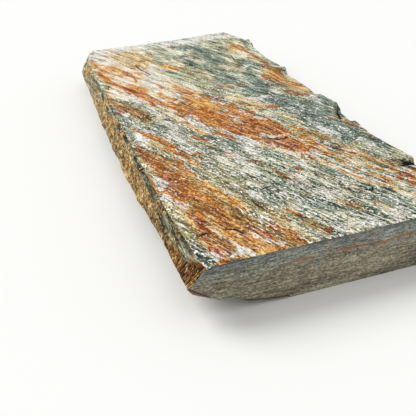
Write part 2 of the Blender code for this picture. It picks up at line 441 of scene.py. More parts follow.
    def top_height(self, u: Numbers, v: Numbers) -> Numbers:
        """Gives the height of the upper cleavage face at each point."""
        follow, across = self.grain(u, v)
        swell = noise_at(u / self.swell_length, v / self.swell_length, self.swell_seed)
        ripple = noise_at(follow / self.ripple_length, across / self.ripple_width, self.ripple_seed)
        calm = self.calm_share + (1.0 - self.calm_share) * smooth_step(v / self.calm_front)
        height = self.thickness + calm * (self.swell_height * swell + self.ripple_height * ripple)
        inside = u - along(self.left_arris, v)
        height = height - self.worn_drop * (1.0 - smooth_step(inside / self.worn_run))
        height = height - np.max([ledge.fall(u, v) for ledge in self.top_ledges], axis=0)
        return height - np.max([scarp.fall(u, v) for scarp in self.scarps], axis=0)

    def crack_field(self, u: Numbers, v: Numbers) -> Numbers:
        """Gives how much of a crack there is at each point, from 0 to 1."""
        return np.max([crack.field(u, v) for crack in self.cracks], axis=0)

    def underside_height(self, u: Numbers, v: Numbers) -> Numbers:
        """Gives the height of the lower cleavage face at each point."""
        return np.max([ledge.fall(u, v) for ledge in self.underside_ledges], axis=0)

    def left_rows(self, v: Numbers) -> tuple[Numbers, Numbers]:
        """Gives u and z of the left side's rows at each v, from the arris down to the keel."""
        arris = along(self.left_arris, v)
        ridge = along(self.left_ridge, v)
        keel = along(self.left_keel, v)
        depth = along(self.left_ridge_depth, v)
        below = self.thickness - depth
        foot = self.underside_height(keel, v)
        rows = [(arris, self.top_height(arris, v))]
        for out, down in self.left_slope_shares[1:]:
            rows.append((arris + (ridge - arris) * out, self.thickness - depth * down))
        for back, down in self.left_undercut_shares[:-1]:
            rows.append((ridge + (keel - ridge) * back, below + (foot - below) * down))
        broken = [(u + along(breaks, v), z) for (u, z), breaks in zip(rows[1:], self.left_breaks)]
        u_rows, z_rows = zip(rows[0], *broken, (keel, foot))
        return np.array(u_rows), np.array(z_rows)

    def right_rows(self, v: Numbers) -> tuple[Numbers, Numbers]:
        """Gives u and z of the right side's rows at each v, from the arris down to the keel."""
        arris = along(self.right_arris, v)
        keel = along(self.right_keel, v)
        top = self.top_height(arris, v)
        foot = self.underside_height(keel, v)
        rows = [(arris, top)]
        steps = list(zip(self.right_rows_at, self.right_sheets, self.right_partings))
        for (depth, out), sheet, parting in steps[1:-1]:
            turn = max(depth - self.right_turn, 0.0) / (1.0 - self.right_turn)
            u = arris + (keel - arris) * turn + out + along(self.right_breaks[sheet], v)
            rows.append((u, top + (foot - top) * (depth + along(self.partings[parting], v))))
        u_rows, z_rows = zip(*rows, (keel, foot))
        return np.array(u_rows), np.array(z_rows)


@dataclass
class SlabSkin:
    """The slab's fine surface: a closed mesh over the form, with what its materials read.

    The upper face and the sides are fine grids. The underside is a quarter as fine, and each
    sawn end is one flat face cut to the outline of the grids that meet it.
    """

    form: SlabForm
    bed_step: int = 4
    side_roughness: float = 0.55
    side_lamina: float = 1.6
    side_run: float = 9.0
    lump_run: float = 4.0
    lump_height: float = 3.0
    lump_share: float = 0.6
    lump_seed: float = 5.0
    left_seed: float = 20.0
    right_seed: float = 40.0
    edge_rate: float = 16.0
    # How gently the tan slope begins, as a share of the ridge's depth, and ends, in rows.
    slope_blend: float = 0.12
    ridge_blend: float = 2.0
    points: list[tuple[float, float, float]] = field(default_factory=list)
    faces: list[tuple[int, ...]] = field(default_factory=list)
    zones: list[int] = field(default_factory=list)

    def add_points(self, u: Numbers, v: Numbers, z: Numbers) -> Numbers:
        """Adds points to the skin.

        Args:
            u: Places across the slab.
            v: Places along the slab.
            z: Heights.

        Returns:
            The number of each point, in the shape of `u`.
        """
        first = len(self.points)
        self.points += list(zip(np.ravel(u), np.ravel(v), np.ravel(z)))
        return first + np.arange(np.size(u)).reshape(np.shape(u))

    def add_grid(self, numbers: Numbers, zone: Zone, outward: bool) -> None:
        """Adds the faces of a grid of points.

        Args:
            numbers: The points' numbers, by row and station.
            zone: The kind of surface.
            outward: Whether row by station turns the faces outward as it is.
        """
        corners = (numbers[:-1, :-1], numbers[1:, :-1], numbers[1:, 1:], numbers[:-1, 1:])
        quads = np.stack([np.ravel(corner) for corner in corners], axis=1)
        quads = quads if outward else quads[:, ::-1]
        self.faces += [tuple(quad) for quad in quads.tolist()]
        self.zones += [zone.value] * len(quads)

    def fine_rows(self, rows: tuple[Numbers, Numbers], steps: tuple[int, ...]) -> tuple[Numbers, Numbers]:
        """Divides the stretches between a side's rows.

        Args:
            rows: u and z of the rows at each station.
            steps: How many parts each stretch is cut into.

        Returns:
            u and z of the fine rows at each station.
        """
        knots = np.concatenate([[0], np.cumsum(steps)])
        places = np.arange(knots[-1] + 1)
        fine = [np.array([np.interp(places, knots, column) for column in part.T]).T for part in rows]
        return fine[0], fine[1]

    def side_relief(self, v: Numbers, z: Numbers, seed: float) -> Numbers:
        """Gives how far a broken side stands out at each point, by its fine layers."""
        layers = noise_at(v / self.side_run, z / self.side_lamina, seed)
        lumps = noise_at(v / self.lump_run, z / self.lump_height, seed + self.lump_seed)
        return self.side_roughness * (layers + self.lump_share * lumps)

    def roughened(
        self, rows: tuple[Numbers, Numbers], v: Numbers, out: int, seed: float
    ) -> tuple[Numbers, Numbers]:
        """Moves the rows of a side out and in by its fine layers, less so near its two edges.

        Args:
            rows: u and z of the rows at each station.
            v: The stations.
            out: Which way the side faces: 1 for right and -1 for left.
            seed: Seed of the side's own noise.

        Returns:
            u and z of the rows.
        """
        u, z = rows
        fade = np.linspace(0.0, 1.0, len(u))[:, None]
        ends = smooth_step(self.edge_rate * fade * (1.0 - fade))
        return u + out * ends * self.side_relief(np.broadcast_to(v, u.shape), z, seed), z

    def add_top(self, left: Numbers, right: Numbers, v: Numbers) -> Numbers:
        """Adds the upper face between its two edges, and gives the numbers of its points."""
        share = np.linspace(0.0, 1.0, self.form.columns + 1)[:, None]
        u = left + (right - left) * share
        v = np.broadcast_to(v, u.shape)
        z = self.form.top_height(u, v) - self.form.crack_depth * self.form.crack_field(u, v)
        numbers = self.add_points(u, v, z)
        self.add_grid(numbers, Zone.RIVEN, True)
        return numbers

    def add_bed(self, left: Numbers, right: Numbers, v: Numbers) -> Numbers:
        """Adds the underside, whose faces are wide but take in every point on its two edges.

        Args:
            left: u of its left edge at each station.
            right: u of its right edge.
            v: The stations.

        Returns:
            The number of each point, with -1 where there is none.
        """
        share = np.linspace(0.0, 1.0, self.form.columns + 1)[::self.bed_step, None]
        u = left + (right - left) * share
        v = np.broadcast_to(v, u.shape)
        z = self.form.underside_height(u, v)
        keep = np.zeros(u.shape, dtype=bool)
        keep[:, ::self.bed_step] = True
        keep[[0, -1], :] = True
        bed = np.full(u.shape, -1)
        bed[keep] = self.add_points(u[keep], v[keep], z[keep])
        last = bed.shape[0] - 1
        for column in range(last):
            for station in range(0, bed.shape[1] - 1, self.bed_step):
                ahead = station + self.bed_step
                corners = [bed[column, station]]
                corners += list(bed[column, station + 1:ahead]) if column == 0 else []
                corners += [bed[column, ahead], bed[column + 1, ahead]]
                corners += list(bed[last, ahead - 1:station:-1]) if column + 1 == last else []
                corners.append(bed[column + 1, station])
                self.faces.append(tuple(int(corner) for corner in corners))
                self.zones.append(Zone.BED.value)
        return bed

    def add_side(
        self, rows: tuple[Numbers, Numbers], v: Numbers, edges: tuple[Numbers, Numbers], outward: bool
    ) -> Numbers:
        """Adds a broken side between two edges that are there already.

        Args:
            rows: u and z of its rows at each station.
            v: The stations.
            edges: The numbers of the points on its upper and its lower edge.
            outward: Whether row by station turns the faces outward as it is.

        Returns:
            The number of each point.
        """
        u, z = rows
        numbers = np.full(u.shape, -1)
        numbers[0], numbers[-1] = edges
        numbers[INNER] = self.add_points(u[INNER], np.broadcast_to(v, u.shape)[INNER], z[INNER])
        self.add_grid(numbers, Zone.BROKEN, outward)
        return numbers

    def add_ends(self, top: Numbers, right: Numbers, bed: Numbers, left: Numbers) -> None:
        """Closes both ends with one flat face each, around the outline of the four grids."""
        for station, reverse in ((0, False), (-1, True)):
            loop = list(top[:, station]) + list(right[INNER, station])
            loop += list(bed[::-1, station]) + list(left[INNER, station][::-1])
            loop = [int(number) for number in loop]
            self.faces.append(tuple(loop if reverse else loop[::-1]))
            self.zones.append(Zone.SAWN.value)

    def build(self) -> bpy.types.Object:
        """Makes the skin's object.

        Returns:
            The slab's object, with its zones, push directions, cracks and tan slope on its mesh.
        """
        form = self.form
        v = form.station_places()
        left_rows = self.fine_rows(form.left_rows(v), form.left_steps)
        right_rows = self.fine_rows(form.right_rows(v), form.right_steps)
        left_u, left_z = left_rows = self.roughened(left_rows, v, -1, self.left_seed)
        right_u, _ = right_rows = self.roughened(right_rows, v, 1, self.right_seed)
        top = self.add_top(left_u[0], right_u[0], v)
        bed = self.add_bed(left_u[-1], right_u[-1], v)
        left = self.add_side(left_rows, v, (top[0], bed[0]), False)
        right = self.add_side(right_rows, v, (top[-1], bed[-1]), True)
        self.add_ends(top, right, bed, left)

        mesh = bpy.data.meshes.new("riven_slab")
        places = np.array(self.points)
        shifted = (places - (form.middle_u, form.length / 2.0, 0.0)) * MILLIMETRE
        mesh.from_pydata(shifted.tolist(), [], self.faces)
        mesh.attributes.new("zone", "INT", "FACE").data.foreach_set("value", self.zones)
        push = np.zeros(places.shape)
        push[top.ravel(), 2] = 1.0
        mesh.attributes.new("push", "FLOAT_VECTOR", "POINT").data.foreach_set("vector", push.ravel())
        self.store(mesh, "crack", form.crack_field(places[:, 0], places[:, 1]) * push[:, 2])
        slope = np.zeros(len(places))
        slope[left[INNER].ravel()] = self.slope_share(v, left_z[INNER]).ravel()
        self.store(mesh, "slope", slope)
        slab = bpy.data.objects.new("riven_slab", mesh)
        bpy.context.scene.collection.objects.link(slab)
        LOG.info("skin: %d points, %d faces", len(self.points), len(self.faces))
        return slab

    def slope_share(self, v: Numbers, z: Numbers) -> Numbers:
        """Gives the left side's inner points their share of the rough tan slope, from 0 to 1."""
        form = self.form
        ends = np.cumsum(form.left_steps)
        ridge = ends[len(form.left_slope_shares) - 2]
        rows = np.arange(1, ends[-1])[:, None]
        down = (form.thickness - z) / along(form.left_ridge_depth, v)
        begun = smooth_step((down - along(form.tan_from, v)) / self.slope_blend + 0.5)
        return begun * smooth_step((ridge + 0.5 - rows) / self.ridge_blend + 0.5)

    def store(self, mesh: bpy.types.Mesh, name: str, values: Numbers) -> None:
        """Keeps one number for each of the mesh's points, under a name."""
        mesh.attributes.new(name, "FLOAT", "POINT").data.foreach_set("value", np.ravel(values))


@dataclass
class Markings:
    """The colours of the riven face, as strokes laid along the grain.

    Each stroke is a chain of (u, v, half width) points. Strokes of one colour make one field,
    which the stone's material breaks up into streaks and specks.
    """

    form: SlabForm
    wander: float = 1.6
    wander_length: float = 11.0
    wander_width: float = 5.0
    wander_seeds: tuple[float, float] = (61.0, 67.0)

    strokes: dict[Stain, tuple[Stroke, ...]] = field(default_factory=lambda: {
        Stain.RUST: (
            Stroke(((10, 30, 8), (15, 12, 9), (17, 0, 8)), 0.62, 0.0, 1.5),
            # The solid heart of the main band.
            Stroke(((106, 142, 7), (110, 130, 8), (114, 119, 6)), 2.4),
            Stroke(((68, 212, 8), (78, 198, 12), (88, 184, 13), (96, 170, 12), (102, 156, 10)), 2.0),
            # The front left field of rust.
            Stroke(((-2, 174, 2), (1, 162, 5), (4, 150, 7), (7, 136, 8), (9, 122, 9), (12, 108, 10)), 0.58),
            Stroke(((12, 108, 9), (14, 94, 8), (18, 80, 8), (23, 66, 8), (27, 52, 8), (30, 40, 7)), 0.54),
            Stroke(((30, 40, 7), (35, 26, 7), (41, 14, 8), (46, -2, 9)), 0.58),
            Stroke(((3, 102, 5), (6, 88, 6), (10, 74, 5)), 0.6),
            Stroke(((14, 58, 3), (12, 42, 4), (13, 26, 4), (12, 12, 5), (14, -2, 5)), 0.8),
            Stroke(((22, 40, 4), (26, 22, 5), (28, 6, 5)), 0.5),
            Stroke(((52, 28, 4), (57, 14, 5), (62, 0, 5)), 0.54),
            Stroke(((1, 100, 3), (3, 90, 4), (9, 84, 4))),
            Stroke(((19, 158, 4), (27, 148, 3), (30, 143, 3)), 0.7),
            Stroke(((38, 146, 2.5), (41, 140, 2))),
            # The long main band.
            Stroke(((5, 340, 3), (9, 330, 3), (13, 321, 3.5), (18, 311, 4.5), (22, 302, 6), (26, 292, 6))),
            Stroke(((26, 292, 6), (30, 282, 5), (34, 270, 4), (38, 260, 4), (46, 250, 6), (50, 243, 7))),
            Stroke(((50, 243, 7), (57, 231, 8), (62, 220, 9), (68, 210, 12), (80, 197, 17), (90, 184, 18))),
            Stroke(
                ((90, 184, 18), (97, 170, 16), (100, 157, 14), (105, 144, 12), (110, 130, 9), (114, 119, 6)),
            ),
            Stroke(((122, 120, 2.5), (126, 110, 2.5), (131, 100, 2)), 0.7),
            Stroke(((62, 300, 3), (66, 286, 4), (71, 272, 4.5), (80, 258, 5), (88, 246, 5)), 0.85),
            Stroke(((86, 246, 4), (91, 230, 4), (96, 216, 4), (104, 202, 6)), 0.9),
            Stroke(((60, 206, 3), (52, 216, 3), (47, 228, 2)), 0.7),
            # Thin streaks and spots.
            Stroke(((2, 210, 1.5), (6, 200, 2.5), (12, 191, 3), (18, 182, 3), (22, 172, 2.5), (26, 160, 3))),
            Stroke(((46, 176, 2), (50, 169, 2.5), (54, 163, 1.5)), 0.8),
            Stroke(((68, 175, 4), (72, 165, 4.5), (76, 157, 3))),
            Stroke(((115, 172, 4), (116, 160, 4), (116, 150, 4)), 0.9),
            Stroke(((126, 160, 4), (130, 152, 4)), 0.7),
            Stroke(((140, 65, 1.2), (143.5, 57, 2.2), (147, 48, 2.2)), 0.8),
            Stroke(((145, 72, 1.6), (149, 65, 2.2), (152, 60, 1.6)), 0.5),
            Stroke(((130, 92, 2), (133, 80, 2), (137, 70, 2)), 0.55),
            Stroke(((67, 41, 1.2), (71, 36, 1.8), (75, 30, 1)), 0.85),
            Stroke(((127, 208, 4), (131, 206, 3.5))),
            Stroke(((158, 60, 3), (163, 47, 4), (158, 38, 3)), 0.6),
            Stroke(((174, 60, 2), (180, 57, 2)), 0.9),
            Stroke(((67, 135, 1.5), (62, 128, 2), (65, 119, 1.5)), 0.6),
            Stroke(((168, 162, 3), (172, 154, 4), (176, 150, 3)), 0.85),
            # The far left.
            Stroke(((-1, 384, 1.4), (1, 372, 2.4), (2, 360, 3.6), (4, 348, 3.2), (6, 338, 2.6))),
            Stroke(((1, 409, 1.4), (8, 404, 1.8), (13, 398, 2.2), (18, 386, 3), (18, 376, 3)), 0.9),
            Stroke(((18, 386, 3), (24, 373, 3), (28, 360, 3.4), (31, 349, 3), (33, 340, 2))),
            Stroke(((33, 340, 2), (30, 330, 1.6)), 0.8),
            Stroke(((26, 410, 1.4), (28, 400, 1.8), (31, 390, 1.6)), 0.6),
            Stroke(((17, 461, 2), (19, 452, 3)), 0.9),
            Stroke(((48, 312, 3), (51, 300, 3), (50, 322, 2)), 0.55),
            # The right edge.
            Stroke(((172, 410, 3), (174, 396, 4), (175, 378, 4), (177, 356, 3)), 0.85),
            Stroke(((166, 404, 2.4), (168, 388, 2.8), (169, 368, 2.4)), 0.85),
            Stroke(((172, 326, 4), (174, 312, 4), (178, 300, 3)), 0.85),
            Stroke(((156, 294, 3), (155, 282, 4), (158, 272, 3)), 0.8),
        ),
        Stain.OCHRE: (
            # Broad, thin washes.
            Stroke(
                (
                    (8, 150, 12), (14, 120, 15), (20, 90, 20), (24, 60, 22),
                    (32, 28, 28), (36, 0, 30),
                ),
                0.44, 0.0, 1.4,
            ),
            Stroke(((64, 256, 8), (70, 236, 10), (72, 214, 9), (84, 196, 8)), 0.9),
            Stroke(((169, 298, 5), (171, 278, 8), (174, 258, 7), (178, 242, 5)), 1.2),
            Stroke(((70, 220, 6), (80, 206, 7), (90, 192, 6)), 0.8),
            Stroke(((10, 396, 9), (14, 376, 10), (18, 356, 8)), 0.52, 0.0, 1.5),
            # Streaks.
            Stroke(((21, 142, 3), (22, 124, 4), (26, 108, 4)), 0.65),
            Stroke(((33, 150, 4), (30, 136, 5), (34, 122, 4)), 0.5),
            Stroke(((28, 98, 4), (33, 82, 5), (38, 66, 5), (43, 50, 5)), 0.55),
            Stroke(((43, 50, 5), (50, 34, 6), (56, 20, 7), (62, 4, 8)), 0.3),
            Stroke(((45, 286, 3), (46, 276, 4), (50, 266, 3), (54, 261, 2))),
            Stroke(((6, 76, 3), (10, 62, 4), (9, 50, 4)), 0.55),
            Stroke(((64, 266, 3), (70, 252, 6), (76, 242, 8), (80, 230, 7), (78, 218, 5)), 1.8),
            Stroke(((92, 236, 2), (97, 224, 3), (96, 214, 3)), 0.8),
            Stroke(((94, 196, 6), (100, 186, 8), (106, 176, 8), (110, 166, 5)), 1.5),
            Stroke(((88, 210, 3), (94, 202, 4), (98, 194, 3)), 2.2),
            Stroke(((98, 178, 2.4), (104, 170, 3), (108, 163, 2.4)), 2.4),
            Stroke(((70, 196, 4), (76, 182, 5), (80, 174, 4)), 0.75),
            Stroke(((47, 206, 1.5), (51, 194, 2), (54, 184, 2), (59, 172, 1.5)), 0.9),
            Stroke(((22, 322, 4), (27, 310, 6), (32, 296, 5)), 0.8),
            Stroke(((4, 392, 3), (6, 380, 4), (8, 364, 4), (10, 350, 3)), 0.6),
            Stroke(((-3, 428, 2), (-2, 412, 3), (0, 398, 4)), 0.6),
            Stroke(((37, 378, 2.5), (40, 362, 4), (40, 352, 4)), 0.85),
            Stroke(((38, 340, 3), (37, 330, 3)), 0.6),
            Stroke(((66, 372, 5), (72, 364, 7), (78, 352, 6)), 0.7),
            Stroke(((47, 392, 4), (46, 382, 3)), 0.6),
            Stroke(((109, 282, 4), (116, 276, 3), (122, 272, 3)), 0.75),
            Stroke(((166, 454, 3), (165, 440, 4)), 0.7),
            Stroke(((-4, 240, 1.4), (-4, 215, 1.4), (-3, 190, 1.4), (-2, 170, 1.4)), 0.45),
            Stroke(((-4, 126, 1.4), (-4, 110, 1.8), (-3, 95, 1.4)), 0.9),
            Stroke(((-1, 322, 2), (-2, 300, 2), (-2, 286, 2)), 0.7),
            Stroke(((88, 148, 2), (92, 136, 2), (97, 122, 2), (104, 104, 2)), 0.45),
            Stroke(((119, 98, 2), (124, 82, 2), (128, 64, 2), (133, 52, 2), (139, 43, 2)), 0.5),
            Stroke(((126, 138, 3), (128, 125, 4), (132, 112, 3)), 0.6),
            Stroke(((101, 40, 1.5), (106, 32, 2), (110, 22, 1.5)), 0.5),
            Stroke(((60, 136, 1.5), (63, 124, 2), (66, 116, 1.5)), 0.6),
            Stroke(((112, 225, 5), (118, 214, 4)), 0.5),
        ),
        Stain.TAN: (
            Stroke(
                (
                    (6, 150, 12), (12, 120, 17), (16, 90, 24), (21, 60, 26),
                    (29, 30, 32), (36, 0, 38),
                ),
                0.68, 0.0, 1.4,
            ),
            Stroke(((52, 56, 6), (60, 30, 8), (66, 0, 9)), 0.5, 0.0, 1.5),
            Stroke(((72, 28, 6), (77, 14, 7)), 0.45),
            Stroke(((3, 80, 5), (7, 68, 7), (9, 54, 7), (8, 40, 5)), 0.75),
            Stroke(((39, 340, 6), (44, 330, 7), (49, 320, 5)), 0.62),
            Stroke(((10, 190, 9), (15, 176, 10), (20, 164, 8)), 0.75, 0.0, 1.5),
            Stroke(((38, 398, 8), (44, 382, 8), (50, 366, 6)), 0.6),
            Stroke(((146, 112, 7), (150, 92, 8), (156, 72, 8)), 0.6, 0.0, 1.5),
            Stroke(((128, 108, 5), (134, 96, 6), (138, 84, 5)), 0.5),
            Stroke(((44, 344, 6), (46, 324, 5)), 0.7),
            Stroke(((128, 150, 6), (135, 138, 6), (141, 126, 5)), 0.7),
            Stroke(((34, 440, 18), (50, 410, 20), (60, 388, 14)), 0.5, 0.0, 1.5),
            Stroke(
                (
                    (164, 306, 5), (170, 292, 9), (173, 272, 11), (175, 252, 9),
                    (179, 236, 6), (182, 226, 4),
                ),
                3.0,
            ),
            Stroke(((164, 412, 5), (160, 398, 5), (156, 380, 3)), 0.95),
            Stroke(((-2, 284, 3), (4, 268, 6), (11, 250, 8), (16, 236, 7), (20, 224, 4)), 1.1),
            Stroke(((28, 462, 6), (38, 448, 8), (46, 434, 9), (52, 420, 9)), 0.75),
            Stroke(((52, 402, 8), (58, 392, 8), (56, 382, 6)), 0.8),
            Stroke(((64, 425, 6), (62, 410, 7)), 0.5),
            Stroke(((120, 150, 7), (126, 135, 8), (124, 122, 6)), 0.55),
            Stroke(((26, 430, 5), (30, 415, 5), (36, 402, 5)), 0.55),
            Stroke(((74, 284, 4), (80, 272, 4)), 0.5),
            Stroke(((106, 228, 7), (110, 214, 6), (118, 205, 6)), 0.55),
            Stroke(((160, 172, 6), (158, 156, 6)), 0.35),
            Stroke(((104, 255, 5), (108, 244, 5)), 0.4),
            Stroke(((96, 452, 3), (94, 440, 3)), 0.5),
            Stroke(((168, 110, 5), (172, 95, 4)), 0.3),
            Stroke(((176, 128, 5), (178, 112, 4)), 0.5),
        ),
        Stain.BROWN: (
            Stroke(((-1, 278, 2), (3, 266, 4), (8, 255, 6), (13, 243, 6), (17, 233, 5), (20, 225, 3)), 0.8),
            Stroke(((80, 262, 3), (84, 252, 4.5), (90, 242, 3.5)), 0.9),
            Stroke(((56, 252, 3), (60, 240, 3), (63, 230, 3)), 0.75),
            Stroke(((69, 118, 2), (74, 110, 4), (78, 104, 2)), 0.8),
            Stroke(((80, 96, 1.2), (83.5, 84, 2.2), (86, 75, 1.4)), 0.8),
            Stroke(((96, 90, 2.5), (99, 86, 2)), 0.8),
            Stroke(((107, 30, 2), (110, 26, 3)), 0.9),
            Stroke(((98, 434, 3), (94, 446, 2), (92, 458, 2)), 0.8),
            Stroke(((33, 452, 3), (40, 448, 3)), 0.5),
            Stroke(((50, 398, 4), (58, 396, 4)), 0.6),
            Stroke(((174, 344, 4), (177, 332, 3)), 0.8),
            Stroke(((172, 312, 4), (178, 302, 3)), 0.7),
            Stroke(((164, 357, 3), (170, 352, 4)), 0.8),
            Stroke(((4, 148, 4), (12, 140, 4)), 0.45),
            Stroke(((34, 44, 3), (40, 30, 4), (46, 18, 4)), 0.55),
            Stroke(((26, 42, 12), (36, 22, 16), (44, 2, 18)), 0.42, 0.0, 1.4),
            Stroke(((18, 74, 3), (24, 58, 4), (28, 46, 3)), 0.5),
            Stroke(((12, 28, 5), (18, 13, 6), (20, -2, 6)), 0.5),
            Stroke(((166, 278, 5), (168, 262, 6), (172, 246, 5)), 0.58),
            Stroke(((96, 174, 1.8), (102, 165, 2.4), (107, 156, 2)), 0.75),
            Stroke(((72, 206, 1.8), (79, 195, 2.4), (86, 184, 1.8)), 0.7),
            Stroke(((158, 240, 4), (164, 231, 6), (170, 222, 4)), 0.72),
            Stroke(((126, 150, 5), (134, 140, 5)), 0.4),
            Stroke(((8, 126, 7), (14, 120, 7)), 0.4),
            Stroke(((170, 148, 4), (172, 138, 3)), 0.6),
            Stroke(((98, 146, 3), (102, 134, 4), (108, 122, 3)), 0.7),
            Stroke(((160, 72, 4), (166, 62, 5), (172, 54, 4)), 0.6),
            Stroke(((120, 275, 2), (123, 272, 2)), 0.8),
        ),
        Stain.OLIVE: (
            Stroke(((8, 120, 14), (16, 90, 20), (24, 60, 24), (32, 28, 30), (38, 0, 34)), 0.8, 0.0, 1.4),
            Stroke(((124, 156, 9), (134, 140, 10), (142, 124, 7)), 1.0),
            Stroke(((158, 244, 7), (163, 232, 9), (168, 222, 7)), 1.2),
            Stroke(((152, 250, 8), (162, 232, 9), (168, 214, 7)), 0.7),
            Stroke(((156, 110, 5), (164, 94, 6)), 0.6),
            Stroke(((3, 76, 6), (4, 60, 8), (5, 46, 8), (4, 32, 7)), 1.3),
            Stroke(((24, 34, 5), (27, 28, 7), (30, 22, 4)), 0.85),
            Stroke(((38, 112, 8), (42, 96, 9), (46, 76, 9), (52, 54, 8), (58, 34, 8)), 0.8),
            Stroke(((32, 112, 6), (36, 100, 6)), 0.6),
            Stroke(((34, 46, 7), (42, 30, 8), (50, 16, 7), (58, 6, 6)), 0.9),
            Stroke(((68, 50, 5), (70, 38, 5), (74, 24, 6)), 0.45),
            Stroke(((14, 172, 6), (16, 160, 6), (22, 150, 5)), 0.6),
            Stroke(((94, 300, 9), (93, 285, 8), (98, 266, 7), (96, 250, 6)), 0.6),
            Stroke(((86, 330, 9), (90, 314, 10), (100, 300, 8)), 0.65),
            Stroke(((74, 442, 8), (78, 424, 8), (76, 408, 9), (80, 392, 8)), 0.42),
            Stroke(((84, 376, 7), (88, 356, 8), (90, 342, 8)), 0.62),
            Stroke(((60, 360, 6), (64, 346, 7)), 0.6),
            Stroke(((164, 430, 5), (166, 414, 6)), 0.9),
            Stroke(((164, 312, 6), (166, 300, 5)), 0.6),
            Stroke(((150, 280, 4), (152, 268, 4)), 0.4),
            Stroke(((128, 190, 7), (131, 176, 8), (133, 160, 7)), 0.5),
            Stroke(((110, 262, 5), (116, 250, 5)), 0.45),
            Stroke(((164, 82, 5), (170, 74, 5)), 0.6),
            Stroke(((146, 104, 6), (150, 88, 6), (154, 76, 5)), 0.6),
        ),
        Stain.CREAM: (
            # The pale far left, and the ground between the rust bands.
            Stroke(
                ((34, 462, 34), (34, 420, 38), (30, 380, 36), (34, 330, 34), (44, 262, 24)), 1.0, 0.0, 1.5,
            ),
            Stroke(((62, 320, 16), (70, 290, 14), (78, 268, 10)), 0.55, 0.0, 1.5),
            Stroke(((40, 232, 12), (44, 204, 12), (56, 178, 8)), 0.5, 0.0, 1.5),
            # Streaks.
            Stroke(((131, 190, 5), (134, 176, 6), (137, 164, 4)), 0.5),
            Stroke(((9, 320, 7), (6, 306, 8), (10, 294, 7), (12, 284, 4))),
            Stroke(((98, 188, 3), (106, 178, 4), (112, 168, 3)), 0.62),
            Stroke(((9, 148, 5), (16, 136, 5), (18, 128, 4)), 0.45),
            Stroke(((128, 340, 7), (134, 328, 8), (140, 316, 6)), 0.5),
            Stroke(((131, 106, 4), (137, 94, 4)), 0.4),
            Stroke(((42, 68, 5), (47, 55, 6)), 0.45),
            Stroke(((40, 322, 4), (41, 306, 4), (44, 294, 3)), 0.9),
            Stroke(((52, 290, 4), (56, 276, 5), (60, 262, 5)), 0.9),
            Stroke(((56, 322, 3), (56, 306, 3)), 0.7),
            Stroke(((46, 236, 4), (42, 246, 4), (36, 254, 3)), 0.7),
            Stroke(
                (
                    (80, 182, 1.4), (88, 164, 1.8), (94, 150, 1.8), (99, 134, 2),
                    (103, 120, 2.2), (108, 108, 2),
                ),
                1.35,
            ),
            Stroke(((117, 100, 1.8), (121, 88, 2.2), (126, 70, 2.4), (131, 54, 2.2), (140, 42, 2.4)), 1.35),
            Stroke(((118, 140, 1.6), (123, 126, 2), (127, 112, 1.6)), 0.7),
            Stroke(((104, 244, 7), (110, 230, 8), (118, 218, 6)), 1.1),
            Stroke(((10, 394, 6), (13, 380, 7), (17, 362, 6), (20, 346, 5)), 1.2),
            Stroke(((13, 344, 5), (12, 332, 5)), 0.9),
            Stroke(((52, 376, 6), (58, 372, 6), (52, 364, 4)), 0.95),
            Stroke(((84, 386, 3), (86, 372, 5), (88, 362, 4)), 0.95),
            Stroke(((70, 436, 4), (74, 426, 3)), 0.7),
            Stroke(((48, 380, 3), (60, 396, 3)), 0.3),
            Stroke(((78, 300, 5), (80, 288, 5), (84, 276, 4)), 0.6),
            Stroke(((60, 338, 6), (62, 326, 6), (66, 314, 6)), 0.6),
            Stroke(((144, 40, 2), (144, 30, 2.5), (149, 24, 3)), 0.9),
            Stroke(((138, 88, 2), (144, 76, 2.4), (150, 66, 2.4), (158, 56, 2)), 0.9),
            Stroke(((100, 42, 1.4), (104, 32, 1.6)), 0.6),
            Stroke(((122, 26, 3), (130, 8, 4)), 0.6),
            Stroke(((30, 226, 3), (32, 232, 3)), 0.9),
            Stroke(((152, 290, 3), (153, 280, 2.5)), 0.6),
            Stroke(((170, 412, 8), (169, 388, 9), (168, 362, 8), (172, 336, 6)), 1.05),
            Stroke(((174, 436, 4), (176, 424, 4)), 0.6),
        ),
        Stain.RED: (
            Stroke(((7, 113, 3), (10, 107, 5), (8, 101, 4))),
            Stroke(((4, 93, 2.5), (7, 87, 4), (11, 82, 3)), 0.8),
            Stroke(((9, 58, 2), (12, 46, 2.5), (13, 36, 2.5)), 0.75),
            Stroke(((10, 14, 3), (14, 6, 4)), 0.75),
            Stroke(((41, 24, 2), (45, 17, 3.5)), 0.8),
            Stroke(((84, 15, 1.6), (81, 8, 1.8), (77, 3, 1.6)), 0.8),
            Stroke(((110, 116, 2.5), (113, 106, 3.5), (116, 98, 3))),
            Stroke(((122, 119, 2), (126, 110, 2.5)), 0.8),
            Stroke(((139, 106, 2.5), (142, 99, 3), (145, 93, 2)), 0.68),
            Stroke(((151, 47, 3), (158, 50, 4), (166, 50, 4)), 0.7),
            Stroke(((128, 30, 3), (122, 24, 3)), 0.3),
            Stroke(((34, 270, 2.5), (35, 262, 4.5), (32, 257, 3))),
            Stroke(((108, 192, 3), (112, 186, 4), (114, 180, 3)), 1.3),
            Stroke(((76, 186, 2), (82, 178, 2.6), (86, 171, 2)), 0.9),
            Stroke(((84, 202, 1.6), (90, 193, 2.2), (96, 184, 1.8)), 0.7),
            Stroke(((54, 214, 2.5), (58, 207, 3.5), (61, 200, 2)), 0.85),
            Stroke(((92, 214, 2.5), (96, 206, 4), (100, 200, 2.5)), 0.75),
            Stroke(((70, 168, 3), (74, 158, 3.5)), 0.6),
            Stroke(((83, 166, 2.5), (84, 160, 2.5)), 0.6),
            Stroke(((106, 168, 4), (110, 160, 5), (112, 154, 3)), 0.8),
            Stroke(((2, 209, 1.2), (5, 203, 2.2), (8, 197, 2)), 0.95),
            Stroke(((15, 316, 3), (18, 306, 3.5), (22, 296, 2.5)), 0.85),
